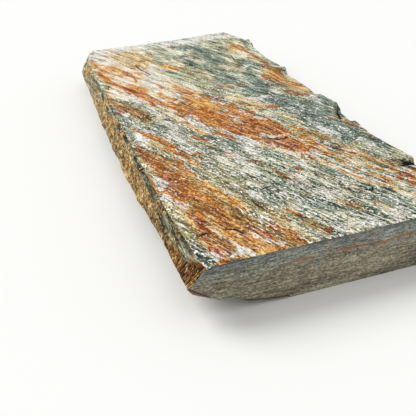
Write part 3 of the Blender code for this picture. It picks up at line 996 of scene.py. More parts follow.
            Stroke(((28, 292, 2.5), (31, 284, 2.5)), 0.6),
            Stroke(((-1, 258, 2.5), (1, 250, 2.5)), 0.7),
            Stroke(((25, 368, 3), (28, 358, 5), (31, 350, 3)), 0.9),
            Stroke(((7, 340, 2), (10, 328, 2.5), (14, 320, 2.5)), 0.8),
            Stroke(((98, 165, 10), (92, 178, 8)), 0.35),
            Stroke(((100, 152, 5), (107, 140, 6), (112, 124, 5)), 0.55),
            Stroke(((13, 469, 1.6), (26, 461, 2.2), (38, 462, 1.6)), 0.75),
            Stroke(((176, 348, 3), (177, 340, 4), (174, 330, 3)), 0.8),
            Stroke(((64, 292, 2.5), (70, 270, 2.5)), 0.5),
            Stroke(((96, 138, 4), (101, 130, 4)), 0.5),
        ),
        Stain.WHITE: (
            # A pale strip of painted sheen across the far end, and thin bloom on the left.
            Stroke(((10, 452, 18), (60, 462, 18), (110, 460, 20), (176, 458, 20)), 0.79, 0.0, 1.5),
            Stroke(((40, 372, 10), (50, 350, 12), (52, 320, 10)), 0.5, 0.0, 1.5),
            Stroke(((14, 200, 12), (32, 188, 12)), 0.36, 0.0, 1.5),
            # Streaks and spots.
            Stroke(((1, 113, 2.5), (4, 105, 3.5), (1, 98, 2.5)), 0.85),
            Stroke(((0, 88, 2), (3, 78, 3.5), (9, 70, 3)), 0.72),
            Stroke(((6, 12, 2.5), (10, 6, 3)), 0.65),
            Stroke(((20, 4, 2.5), (25, 8, 3.5), (29, 3, 2.5)), 0.85),
            Stroke(((37, 24, 1.6), (42, 12, 2.6), (50, 6, 2.6)), 0.5),
            # Painted highlights on the lit rims of two flake edges, beside the painted shadow of their
            # cracks.
            Stroke(((54, 69, 2.4), (56.5, 60, 2.8)), 1.5),
            Stroke(((98, 156, 1.0), (101, 151.5, 1.6), (106, 148, 1.8), (113, 147.5, 1.2)), 5.0, 0.6),
            Stroke(((107, 191, 1.4), (110, 186, 1.8), (112, 182, 1.4)), 2.0),
            Stroke(((100, 390, 5), (106, 378, 6), (110, 366, 5)), 0.42),
            Stroke(((70, 440, 6), (76, 426, 7)), 0.5),
            Stroke(((84, 76, 0.9), (88, 64, 0.9), (93, 50, 0.9)), 0.8),
            Stroke(((92, 62, 1.5), (95, 52, 2.2), (99, 44, 2)), 0.85),
            Stroke(((58, 60, 1.0), (60, 52, 1.4), (63, 45, 1.0)), 0.8),
            Stroke(((98, 56, 2.5), (104, 48, 4.5), (106, 42, 2)), 0.85),
            Stroke(((102, 102, 2), (105, 96, 3.5), (104, 88, 2)), 0.9),
            Stroke(((86, 16, 3), (90, 8, 5), (98, 6, 5), (108, 8, 5), (112, 3, 4)), 0.72),
            Stroke(((128, 14, 4), (124, 4, 5)), 0.6),
            Stroke(((64, 104, 3), (60, 96, 3)), 0.5),
            Stroke(((96, 64, 3), (92, 74, 3)), 0.45),
            Stroke(((49, 86, 1.5), (50, 80, 2)), 0.6),
            Stroke(((80, 26, 3), (84, 22, 3)), 0.5),
            Stroke(((145, 148, 4), (147, 138, 4), (151, 128, 3)), 0.8),
            Stroke(((163, 116, 4), (165, 106, 5), (164, 96, 3)), 0.6),
            Stroke(((137, 118, 3), (142, 122, 3)), 0.65),
            Stroke(((4, 316, 5), (6, 304, 5)), 0.55),
            Stroke(((3, 286, 1.6), (4, 281, 1.6)), 0.9),
            Stroke(((3, 250, 2.5), (6, 244, 2)), 0.7),
            Stroke(((6, 216, 3), (12, 212, 3)), 0.75),
            Stroke(((4, 196, 3.5), (6, 184, 4.5), (5, 172, 3)), 0.8),
            Stroke(((33, 214, 3.5), (36, 202, 4), (34, 190, 4), (30, 180, 4), (36, 170, 3)), 0.7),
            Stroke(((56, 216, 4), (54, 200, 4), (57, 188, 4), (60, 178, 2.5)), 0.7),
            Stroke(((32, 156, 3), (36, 148, 4)), 0.85),
            Stroke(((68, 180, 2), (74, 170, 2), (78, 160, 2)), 0.75),
            Stroke(((62, 282, 2.5), (58, 268, 4), (60, 256, 3)), 0.6),
            Stroke(((76, 258, 2.5), (74, 266, 2)), 0.8),
            Stroke(((86, 240, 3.5), (91, 232, 2.5)), 0.8),
            Stroke(((88, 204, 1.2), (93, 198, 1.0), (88, 192, 1.4), (92, 184, 1.2)), 1.0),
            Stroke(((80, 214, 1.2), (85, 208, 1.6)), 0.9),
            Stroke(((100, 212, 2), (102, 206, 2)), 0.85),
            Stroke(((110, 188, 1.8), (113, 182, 1.8)), 0.75),
            Stroke(((118, 236, 3), (126, 232, 5), (136, 236, 3)), 0.75),
            Stroke(((112, 225, 3), (111, 228, 2)), 0.6),
            Stroke(((146, 246, 4), (150, 236, 4), (155, 228, 2)), 0.55),
            Stroke(((166, 214, 2.4), (172, 206, 3), (170, 198, 3)), 0.6),
            Stroke(((154, 198, 3), (150, 190, 3)), 0.45),
            Stroke(((94, 290, 3), (96, 284, 2)), 0.5),
            Stroke(((142, 322, 3), (148, 328, 4), (154, 332, 3)), 0.75),
            Stroke(((45, 346, 4), (46, 334, 5), (50, 322, 4)), 0.75),
            Stroke(((20, 348, 3), (22, 334, 3)), 0.6),
            Stroke(((38, 332, 4), (42, 314, 4), (46, 298, 3)), 0.75),
            Stroke(((58, 374, 5), (66, 354, 4)), 0.65),
            Stroke(((10, 374, 3), (13, 358, 3)), 0.6),
            Stroke(((12, 300, 4), (17, 286, 4), (24, 268, 4)), 0.6),
            Stroke(((50, 288, 3), (54, 272, 3)), 0.7),
            Stroke(((80, 156, 6), (82, 142, 7), (80, 128, 6)), 0.66),
            Stroke(((72, 72, 6), (78, 56, 7), (84, 40, 6)), 0.34),
            Stroke(((62, 136, 6), (68, 122, 7), (70, 108, 6)), 0.5),
            Stroke(((6, 462, 7), (9, 446, 8), (10, 430, 7), (16, 416, 6), (20, 406, 3)), 0.8),
            # More of the painted sheen across the far end.
            Stroke(((20, 470, 6), (40, 466, 8), (60, 462, 8)), 0.7),
            Stroke(((60, 466, 9), (90, 466, 9), (120, 466, 9), (150, 464, 9), (176, 462, 7)), 0.62),
            Stroke(((100, 430, 3), (104, 420, 3), (98, 412, 2)), 0.5),
            Stroke(((56, 440, 3), (60, 434, 3)), 0.5),
            Stroke(((112, 420, 3), (114, 408, 3)), 0.5),
            Stroke(((128, 440, 8), (150, 440, 8)), 0.35),
            Stroke(((108, 376, 1.5), (110, 362, 1.5)), 0.5),
            Stroke(((168, 384, 4), (166, 372, 4)), 0.6),
            Stroke(((10, 12, 2), (16, 8, 2)), 0.5),
        ),
        Stain.SLATE: (
            # Broad darker ground.
            Stroke(
                (
                    (150, 268, 20), (146, 236, 24), (150, 190, 24),
                    (156, 150, 22), (160, 100, 20),
                ),
                0.98, 0.0, 1.5,
            ),
            Stroke(
                (
                    (118, 424, 14), (122, 400, 16), (126, 366, 20), (124, 335, 22),
                    (119, 290, 22), (122, 262, 14),
                ),
                0.56, 0.0, 1.5,
            ),
            Stroke(((102, 442, 5), (107, 424, 6)), 0.6),
            # The margin above the left side.
            Stroke(
                (
                    (-2, 318, 1.6), (-3, 290, 3), (-3, 262, 3.6),
                    (-2, 236, 4), (-1, 212, 3.4), (0, 186, 2),
                ),
                1.0,
            ),
            Stroke(((-3, 84, 2), (-2, 66, 2), (0, 48, 2)), 0.6),
            # Streaks.
            Stroke(((82, 52, 6), (90, 42, 8), (97, 31, 7)), 0.7),
            Stroke(((126, 152, 5), (132, 144, 6), (138, 134, 6)), 0.55),
            Stroke(((98, 444, 8), (103, 432, 9), (109, 420, 8)), 0.6),
            Stroke(((158, 108, 6), (166, 94, 7)), 0.5),
            Stroke(((178, 218, 5), (182, 202, 8), (184, 180, 8)), 1.0),
            Stroke(((-3, 36, 4), (0, 22, 6), (4, 8, 6), (8, 0, 5)), 0.6),
            Stroke(((12, 232, 5), (5, 236, 4), (14, 224, 4)), 0.75),
            Stroke(((20, 212, 5), (25, 202, 6), (27, 192, 4)), 0.65),
            Stroke(((34, 220, 2.5), (38, 208, 4), (42, 197, 4), (46, 186, 4), (52, 174, 4), (58, 165, 4))),
            Stroke(((58, 165, 4), (66, 155, 3.5), (74, 146, 4)), 0.7),
            Stroke(((22, 262, 4), (24, 248, 4), (26, 236, 4)), 0.4),
            Stroke(((14, 282, 5), (20, 272, 4)), 0.35),
            Stroke(((112, 300, 3), (116, 292, 4), (117, 286, 3)), 0.9),
            Stroke(((128, 266, 5), (132, 254, 7), (136, 242, 6)), 0.85),
            Stroke(((104, 285, 4), (108, 262, 4)), 0.4),
            Stroke(((140, 300, 10), (138, 280, 10), (150, 258, 8)), 0.4),
            Stroke(((118, 312, 6), (124, 300, 5)), 0.5),
            Stroke(((166, 190, 7), (164, 176, 8), (158, 162, 8), (146, 152, 8)), 0.8),
            Stroke(((158, 244, 5), (163, 232, 5), (166, 222, 4)), 0.8),
            Stroke(((150, 186, 6), (148, 172, 6)), 0.5),
            Stroke(((156, 134, 8), (166, 128, 8), (160, 118, 6)), 0.62),
            Stroke(((154, 112, 5), (160, 92, 6), (170, 84, 5)), 0.5),
            Stroke(((86, 138, 4), (88, 124, 4), (92, 104, 4)), 0.35),
            Stroke(((88, 72, 1.6), (91, 62, 2.2), (95, 48, 1.8)), 0.9),
            Stroke(((78, 70, 3), (82, 60, 3), (84, 50, 3)), 0.35),
            Stroke(((128, 30, 7), (134, 18, 8), (138, 6, 8)), 0.6),
            Stroke(((114, 92, 5), (119, 74, 5), (124, 60, 4)), 0.6),
            Stroke(((90, 40, 4), (92, 26, 4), (104, 28, 3), (108, 12, 4)), 0.5),
            Stroke(((114, 22, 4), (118, 8, 4)), 0.5),
            Stroke(((48, 150, 4), (50, 136, 4), (48, 120, 4)), 0.45),
            Stroke(((78, 128, 3), (80, 120, 3)), 0.4),
            Stroke(((66, 70, 5), (72, 58, 5)), 0.45),
            Stroke(((116, 400, 4), (116, 386, 4), (112, 372, 4)), 0.45),
            Stroke(((122, 408, 7), (130, 398, 8), (138, 386, 8)), 0.45),
            Stroke(((112, 352, 4), (112, 338, 4), (110, 324, 3)), 0.72),
            Stroke(((122, 370, 9), (132, 352, 10), (140, 334, 9)), 0.3),
            Stroke(((150, 354, 5), (156, 350, 4)), 0.8),
            Stroke(((156, 346, 10), (160, 328, 9), (163, 314, 7)), 0.7),
            Stroke(((148, 412, 6), (152, 396, 5)), 0.5),
            Stroke(((44, 372, 2), (48, 356, 2.4), (54, 342, 3)), 0.7),
            Stroke(((90, 398, 4), (92, 386, 4)), 0.45),
            Stroke(((128, 210, 4), (138, 214, 4), (128, 222, 3)), 0.5),
            Stroke(((152, 218, 5), (158, 206, 4)), 0.4),
        ),
    })

    def paint(self, skin: SlabSkin, slab: bpy.types.Object) -> None:
        """Keeps each colour's field on the slab's mesh, for its riven face alone.

        Args:
            skin: The skin that the object was made from.
            slab: The slab's object.
        """
        places = np.array(skin.points)
        u, v = places[:, 0], places[:, 1]
        follow, across = self.form.grain(u, v)
        cells = follow / self.wander_length, across / self.wander_width
        u, v = (
            place + self.wander * noise_at(*cells, seed) for place, seed in zip((u, v), self.wander_seeds)
        )
        for stain, strokes in self.strokes.items():
            strength = np.max([stroke.field(u, v) for stroke in strokes], axis=0)
            skin.store(slab.data, stain.value, strength)
            LOG.info("markings: %s, %d strokes", stain.value, len(strokes))


@dataclass
class RivenRelief:
    """The fine relief of the riven face, and the slivers of stone that still cling to it.

    A Geometry Nodes tree pushes the face up and down in streaks and thin sheets that follow the
    grain, scatters slivers along it, and gives each kind of surface its material.
    """

    grain_angle: float
    streak_length: float = 15.0
    streak_width: float = 3.0
    streak_height: float = 0.75
    sheet_length: float = 60.0
    sheet_width: float = 13.0
    sheet_count: float = 7.0
    sheet_height: float = 2.4
    sheet_edge: float = 0.22
    sliver_length: float = 5.0
    sliver_width: float = 1.1
    sliver_height: float = 0.5
    slivers_per_area: float = 9000.0
    sliver_limit: float = 231.5
    streak_detail: float = 4.0
    sheet_detail: float = 3.0
    # A sliver is a flat chip: its corners, the width of its top over that of its foot, its least
    # size over its greatest each way, and how far it strays from the grain, in radians.
    sliver_corners: int = 7
    sliver_top: float = 0.62
    sliver_least: tuple[float, float, float] = (0.35, 0.4, 0.6)
    sliver_stray: float = 0.16
    seed: int = 7

    def inputs(self) -> dict[str, tuple[str, float]]:
        """Names the tree's inputs, each with its kind of socket and its value in metres or radians."""
        mm = MILLIMETRE
        return {
            "Grain Angle": ("NodeSocketFloat", radians(self.grain_angle)),
            "Streak Length": ("NodeSocketFloat", self.streak_length * mm),
            "Streak Width": ("NodeSocketFloat", self.streak_width * mm),
            "Streak Height": ("NodeSocketFloat", self.streak_height * mm),
            "Sheet Length": ("NodeSocketFloat", self.sheet_length * mm),
            "Sheet Width": ("NodeSocketFloat", self.sheet_width * mm),
            "Sheet Count": ("NodeSocketFloat", self.sheet_count),
            "Sheet Height": ("NodeSocketFloat", self.sheet_height * mm),
            "Sheet Edge": ("NodeSocketFloat", self.sheet_edge),
            "Sliver Length": ("NodeSocketFloat", self.sliver_length * mm),
            "Sliver Width": ("NodeSocketFloat", self.sliver_width * mm),
            "Sliver Height": ("NodeSocketFloat", self.sliver_height * mm),
            "Slivers per Area": ("NodeSocketFloat", self.slivers_per_area),
            "Sliver Limit": ("NodeSocketFloat", self.sliver_limit * mm),
            "Seed": ("NodeSocketInt", self.seed),
        }

    def grain_noise(
        self, tree: bpy.types.NodeTree, given: bpy.types.Node, size: str, detail: float
    ) -> bpy.types.NodeSocket:
        """Adds noise drawn out along the grain.

        Args:
            tree: The tree.
            given: Its group input.
            size: First word of the inputs that hold the noise's length and width.
            detail: Detail of the noise.

        Returns:
            The noise, from 0 to 1.
        """
        place = add_node(tree, "GeometryNodeInputPosition")
        turned = add_node(
            tree, "ShaderNodeVectorRotate", {"rotation_type": "Z_AXIS", "invert": True},
            links={"Vector": place.outputs[0], "Angle": given.outputs["Grain Angle"]},
        )
        width = given.outputs[f"{size} Width"]
        cell = add_node(
            tree, "ShaderNodeCombineXYZ",
            links={"X": given.outputs[f"{size} Length"], "Y": width, "Z": width},
        )
        scaled = add_node(
            tree, "ShaderNodeVectorMath", {"operation": "DIVIDE"},
            links={0: turned.outputs[0], 1: cell.outputs[0]},
        )
        made = add_node(
            tree, "ShaderNodeTexNoise", {"noise_dimensions": "4D"},
            {"Scale": 1.0, "Detail": detail, "Roughness": NOISE_ROUGHNESS},
            {"Vector": scaled.outputs[0], "W": given.outputs["Seed"]},
        )
        return made.outputs["Fac"]

    def sheets(self, tree: bpy.types.NodeTree, given: bpy.types.Node) -> bpy.types.NodeSocket:
        """Adds the flat steps that thin broken sheets leave, from about 0 to 1."""
        layers = add_node(
            tree, "ShaderNodeMath", {"operation": "MULTIPLY"},
            links={
                0: self.grain_noise(tree, given, "Sheet", self.sheet_detail),
                1: given.outputs["Sheet Count"],
            },
        )
        whole = add_node(tree, "ShaderNodeMath", {"operation": "FLOOR"}, links={0: layers.outputs[0]})
        part = add_node(tree, "ShaderNodeMath", {"operation": "FRACT"}, links={0: layers.outputs[0]})
        edge = add_node(
            tree, "ShaderNodeMapRange", {"interpolation_type": "SMOOTHSTEP"},
            links={"Value": part.outputs[0], "From Max": given.outputs["Sheet Edge"]},
        )
        stepped = add_node(
            tree, "ShaderNodeMath", {"operation": "ADD"},
            links={0: whole.outputs[0], 1: edge.outputs["Result"]},
        )
        share = add_node(
            tree, "ShaderNodeMath", {"operation": "DIVIDE"},
            links={0: stepped.outputs[0], 1: given.outputs["Sheet Count"]},
        )
        return share.outputs[0]

    def slivers(
        self, tree: bpy.types.NodeTree, given: bpy.types.Node, face: bpy.types.NodeSocket,
        chosen: bpy.types.NodeSocket,
    ) -> bpy.types.NodeSocket:
        """Scatters slivers over the riven face.

        Args:
            tree: The tree.
            given: Its group input.
            face: The pushed slab.
            chosen: Which faces take slivers.

        Returns:
            The slivers, as instances that carry the stain fields of the stone under them.
        """
        place = add_node(tree, "GeometryNodeInputPosition")
        split = add_node(tree, "ShaderNodeSeparateXYZ", links={0: place.outputs[0]})
        apart = add_node(
            tree, "ShaderNodeMath", {"operation": "ABSOLUTE"}, links={0: split.outputs["Y"]},
        )
        inside = add_node(
            tree, "FunctionNodeCompare", {"data_type": "FLOAT", "operation": "LESS_THAN"},
            links={"A": apart.outputs[0], "B": given.outputs["Sliver Limit"]},
        )
        allowed = add_node(
            tree, "FunctionNodeBooleanMath", {"operation": "AND"},
            links={0: chosen, 1: inside.outputs["Result"]},
        )
        points = add_node(
            tree, "GeometryNodeDistributePointsOnFaces",
            links={
                "Mesh": face, "Selection": allowed.outputs[0],
                "Density": given.outputs["Slivers per Area"], "Seed": given.outputs["Seed"],
            },
        )
        bare = add_node(
            tree, "GeometryNodeRemoveAttribute", values={"Name": "zone"},
            links={"Geometry": points.outputs["Points"]},
        )
        blank = add_node(
            tree, "GeometryNodeMeshCone", {"fill_type": "NGON"},
            {
                "Vertices": self.sliver_corners, "Radius Top": self.sliver_top,
                "Radius Bottom": 1.0, "Depth": 1.0,
            },
        )
        size = add_node(
            tree, "ShaderNodeCombineXYZ",
            links={
                "X": given.outputs["Sliver Length"], "Y": given.outputs["Sliver Width"],
                "Z": given.outputs["Sliver Height"],
            },
        )
        spread = add_node(
            tree, "FunctionNodeRandomValue", {"data_type": "FLOAT_VECTOR"},
            {0: self.sliver_least, 1: (1.0, 1.0, 1.0)}, {"Seed": given.outputs["Seed"]},
        )
        scale = add_node(
            tree, "ShaderNodeVectorMath", {"operation": "MULTIPLY"},
            links={0: size.outputs[0], 1: spread.outputs[0]},
        )
        half = add_node(
            tree, "ShaderNodeVectorMath", {"operation": "SCALE"}, {"Scale": 0.5},
            {0: scale.outputs[0]},
        )
        wander = add_node(
            tree, "FunctionNodeRandomValue", {"data_type": "FLOAT"},
            {2: -self.sliver_stray, 3: self.sliver_stray}, {"Seed": given.outputs["Seed"]},
        )
        turn = add_node(
            tree, "ShaderNodeMath", {"operation": "ADD"},
            links={0: given.outputs["Grain Angle"], 1: wander.outputs[1]},
        )
        heading = add_node(tree, "ShaderNodeCombineXYZ", links={"Z": turn.outputs[0]})
        placed = add_node(
            tree, "GeometryNodeInstanceOnPoints",
            links={
                "Points": bare.outputs[0], "Instance": blank.outputs["Mesh"],
                "Rotation": heading.outputs[0], "Scale": half.outputs[0],
            },
        )
        return placed.outputs[0]

    def is_zone(self, tree: bpy.types.NodeTree, kind: Zone) -> bpy.types.NodeSocket:
        """Adds the choice of the faces of one kind.

        Slivers have no zone of their own, which reads as riven.
        """
        zone = add_node(tree, "GeometryNodeInputNamedAttribute", {"data_type": "INT"}, {"Name": "zone"})
        same = add_node(
            tree, "FunctionNodeCompare", {"data_type": "INT", "operation": "EQUAL"},
            {"B": kind.value}, {"A": zone.outputs["Attribute"]},
        )
        return same.outputs["Result"]

    def tree(self, finishes: dict[Zone, bpy.types.Material]) -> bpy.types.NodeTree:
        """Builds the Geometry Nodes tree.

        Args:
            finishes: The material of each kind of surface.

        Returns:
            The tree.
        """
        tree = bpy.data.node_groups.new("riven relief", "GeometryNodeTree")
        tree.interface.new_socket("Geometry", in_out="INPUT", socket_type="NodeSocketGeometry")
        for name, (kind, _) in self.inputs().items():
            tree.interface.new_socket(name, in_out="INPUT", socket_type=kind)
        tree.interface.new_socket("Geometry", in_out="OUTPUT", socket_type="NodeSocketGeometry")
        given = add_node(tree, "NodeGroupInput")

        streaks = self.grain_noise(tree, given, "Streak", self.streak_detail)
        heights = []
        for size, share in (("Streak", streaks), ("Sheet", self.sheets(tree, given))):
            centred = add_node(
                tree, "ShaderNodeMath", {"operation": "SUBTRACT"}, {1: 0.5}, {0: share},
            )
            height = add_node(
                tree, "ShaderNodeMath", {"operation": "MULTIPLY"},
                links={0: centred.outputs[0], 1: given.outputs[f"{size} Height"]},
            )
            heights.append(height.outputs[0])
        total = add_node(
            tree, "ShaderNodeMath", {"operation": "ADD"}, links=dict(enumerate(heights)),
        )
        push = add_node(
            tree, "GeometryNodeInputNamedAttribute", {"data_type": "FLOAT_VECTOR"}, {"Name": "push"},
        )
        upward = add_node(
            tree, "ShaderNodeVectorMath", {"operation": "MULTIPLY"}, {1: (0.0, 0.0, 1.0)},
            {0: push.outputs["Attribute"]},
        )
        offset = add_node(
            tree, "ShaderNodeVectorMath", {"operation": "SCALE"},
            links={0: upward.outputs[0], "Scale": total.outputs[0]},
        )
        pushed = add_node(
            tree, "GeometryNodeSetPosition",
            links={"Geometry": given.outputs["Geometry"], "Offset": offset.outputs[0]},
        )

        riven = self.is_zone(tree, Zone.RIVEN)
        joined = add_node(tree, "GeometryNodeJoinGeometry")
        tree.links.new(self.slivers(tree, given, pushed.outputs["Geometry"], riven), joined.inputs[0])
        tree.links.new(pushed.outputs["Geometry"], joined.inputs[0])
        dressed = add_node(
            tree, "GeometryNodeRealizeInstances", links={"Geometry": joined.outputs[0]},
        ).outputs[0]
        for kind, finish in finishes.items():
            dressed = add_node(
                tree, "GeometryNodeSetMaterial", values={"Material": finish},
                links={"Geometry": dressed, "Selection": self.is_zone(tree, kind)},
            ).outputs[0]
        add_node(tree, "NodeGroupOutput", links={"Geometry": dressed})
        return tree

    def apply(self, slab: bpy.types.Object, finishes: dict[Zone, bpy.types.Material]) -> None:
        """Runs the tree on the slab and keeps the result as its plain mesh.

        Args:
            slab: The slab's object.
            finishes: The material of each kind of surface.
        """
        tree = self.tree(finishes)
        modifier = slab.modifiers.new("riven relief", "NODES")
        modifier.node_group = tree
        values = self.inputs()
        for item in tree.interface.items_tree:
            if item.in_out == "INPUT" and item.name in values:
                modifier[item.identifier] = values[item.name][1]
        evaluated = slab.evaluated_get(bpy.context.evaluated_depsgraph_get())
        mesh = bpy.data.meshes.new_from_object(evaluated)
        slab.modifiers.remove(modifier)
        slab.data = mesh
        LOG.info("relief: %d faces", len(mesh.polygons))


@dataclass(frozen=True)
class Tones:
    """The darkest, usual and lightest colour of a mineral, as sRGB hex, and how it breaks up."""

    low: str
    usual: str
    high: str
    ragged: float = 1.0


STAIN_TONES: dict[Stain, Tones] = {
    Stain.SLATE: Tones("#1e2a22", "#566a5b", "#98a796"),
    Stain.OLIVE: Tones("#4a4526", "#908a58", "#d8d2a2"),
    Stain.CREAM: Tones("#a07b3c", "#e4cd9d", "#fffaee"),
    Stain.TAN: Tones("#5c3e0c", "#ac8340", "#f3e0b0"),
    Stain.OCHRE: Tones("#754200", "#cc7e0a", "#fcd88e"),
    Stain.RUST: Tones("#642c00", "#af5a00", "#f2b458", 0.8),
    Stain.BROWN: Tones("#341a03", "#7c4b1a", "#cc9e66"),
    Stain.RED: Tones("#3a140a", "#964722", "#eab088", 1.6),
    Stain.WHITE: Tones("#79766a", "#d8d5c9", "#ffffff", 2.0),
}
IRON_STAINS = (Stain.TAN, Stain.OCHRE, Stain.RUST, Stain.BROWN, Stain.RED)


@dataclass(frozen=True)
class Cells:
    """A noise that is fixed to the object, by the cells that it is made of.

    A cell has a size across, along and up, in millimetres. `shift` moves the pattern, in metres,
    to make it another one. `turn` turns the cells about the upright, in degrees, and `curl`
    bends them.
    """

    size: tuple[float, float, float]
    detail: float
    shift: float = 0.0
    turn: float = 0.0
    curl: float = 0.0

    def noise(self, tree: bpy.types.NodeTree, further: float = 0.0) -> bpy.types.NodeSocket:
        """Adds the noise.

        Args:
            tree: The material's tree.
            further: How much further the pattern is moved, in metres.

        Returns:
            The noise, from 0 to 1.
        """
        shift = self.shift + further
        place = add_node(tree, "ShaderNodeTexCoord")
        cells = add_node(
            tree, "ShaderNodeMapping", {"vector_type": "TEXTURE"},
            {
                "Location": (shift, shift, shift), "Rotation": (0.0, 0.0, radians(self.turn)),
                "Scale": tuple(side * MILLIMETRE for side in self.size),
            },
            {"Vector": place.outputs["Object"]},
        )
        made = add_node(
            tree, "ShaderNodeTexNoise",
            values={
                "Scale": 1.0, "Detail": self.detail, "Roughness": NOISE_ROUGHNESS,
                "Distortion": self.curl,
            },
            links={"Vector": cells.outputs[0]},
        )
        return made.outputs["Fac"]


def flow(length: float, width: float, detail: float, shift: float = 0.0) -> Cells:
    """Gives cells that are drawn out along the grain, by their length and width."""
    return Cells((length, width, width * CELL_DEPTH), detail, shift)


@dataclass(frozen=True)
class Mix:
    """The weights of some noises, each taken about its middle, and the value where all are there."""

    weights: tuple[float, ...]
    middle: float = 0.5

    def blend(
        self, tree: bpy.types.NodeTree, *noises: bpy.types.NodeSocket, share: float = 1.0
    ) -> bpy.types.NodeSocket:
        """Adds the weighted noises to the middle value.

        Args:
            tree: The tree.
            noises: The noises, in the order of the weights. Any beyond the last weight are left out.
            share: How much of each weight is used.

        Returns:
            The sum.
        """
        total = None
        for weight, part in zip(self.weights, noises):
            weight = weight * share
            offset = -0.5 * weight + (self.middle if total is None else 0.0)
            step = add_node(
                tree, "ShaderNodeMath", {"operation": "MULTIPLY_ADD"}, {1: weight, 2: offset}, {0: part},
            )
            if total is not None:
                step = add_node(
                    tree, "ShaderNodeMath", {"operation": "ADD"},
                    links={0: total, 1: step.outputs[0]},
                )
            total = step.outputs[0]
        return total


def ease(
    tree: bpy.types.NodeTree, value: bpy.types.NodeSocket, low: float, high: float, most: float = 1.0
) -> bpy.types.NodeSocket:
    """Adds a smooth rise from 0 at `low` to `most` at `high`."""
    rise = add_node(
        tree, "ShaderNodeMapRange", {"interpolation_type": "SMOOTHSTEP"},
        {"From Min": low, "From Max": high, "To Max": most}, {"Value": value},
    )
    return rise.outputs["Result"]


def over(
    tree: bpy.types.NodeTree,
    mask: bpy.types.NodeSocket,
    below: bpy.types.NodeSocket,
    above: bpy.types.NodeSocket | str,
) -> bpy.types.NodeSocket:
    """Lays one colour over another.

    Args:
        tree: The tree.
        mask: Where the upper colour shows.
        below: The lower colour.
        above: The upper colour: a socket, or sRGB hex.

    Returns:
        The mixed colour.
    """
    links = {"Factor": mask, 6: below}
    values = {}
    if isinstance(above, str):
        values[7] = linear(above)
    else:
        links[7] = above
    return add_node(tree, "ShaderNodeMix", {"data_type": "RGBA"}, values, links).outputs[2]


def shade(tree: bpy.types.NodeTree, tone: bpy.types.NodeSocket, stops: Stops) -> bpy.types.NodeSocket:
    """Adds a colour ramp over the tone and gives its colour."""
    node = add_node(tree, "ShaderNodeValToRGB", links={"Fac": tone})
    elements = node.color_ramp.elements
    for _ in stops[2:]:
        elements.new(0.5)
    for element, (place, colour) in zip(elements, stops):
        element.position = place
        element.color = linear(colour)
    return node.outputs["Color"]


def between(
    tree: bpy.types.NodeTree, share: bpy.types.NodeSocket, first: bpy.types.NodeSocket,
    second: bpy.types.NodeSocket,
) -> bpy.types.NodeSocket:
    """Adds a value that goes from the first to the second as the share goes from 0 to 1."""
    mix = add_node(
        tree, "ShaderNodeMix", {"data_type": "FLOAT"}, links={"Factor": share, 2: first, 3: second},
    )
    return mix.outputs[0]


def lengthwise(tree: bpy.types.NodeTree) -> bpy.types.NodeSocket:
    """Adds each point's place along the slab, in metres from its middle to the back."""
    place = add_node(tree, "ShaderNodeTexCoord")
    split = add_node(tree, "ShaderNodeSeparateXYZ", links={0: place.outputs["Object"]})
    return split.outputs["Y"]


def dress(
    tree: bpy.types.NodeTree, surface: bpy.types.Node, colour: bpy.types.NodeSocket,
    height: bpy.types.NodeSocket, relief: float,
) -> None:
    """Gives a surface its colour and its fine relief.

    Args:
        tree: The material's tree.
        surface: The surface.
        colour: Its colour.
        height: How high it stands at each point, from about 0 to 1.
        relief: The height that 1 stands for, in millimetres.
    """
    bump = add_node(
        tree, "ShaderNodeBump", values={"Distance": relief * MILLIMETRE, "Strength": 1.0},
        links={"Height": height},
    )
    tree.links.new(bump.outputs[0], surface.inputs["Normal"])
    tree.links.new(colour, surface.inputs["Base Color"])


@dataclass(frozen=True)
class Chips:
    """Bits of pale mineral: their noise, where they begin in it and are full, and their cover."""

    cells: Cells
    first: float
    full: float
    cover: float


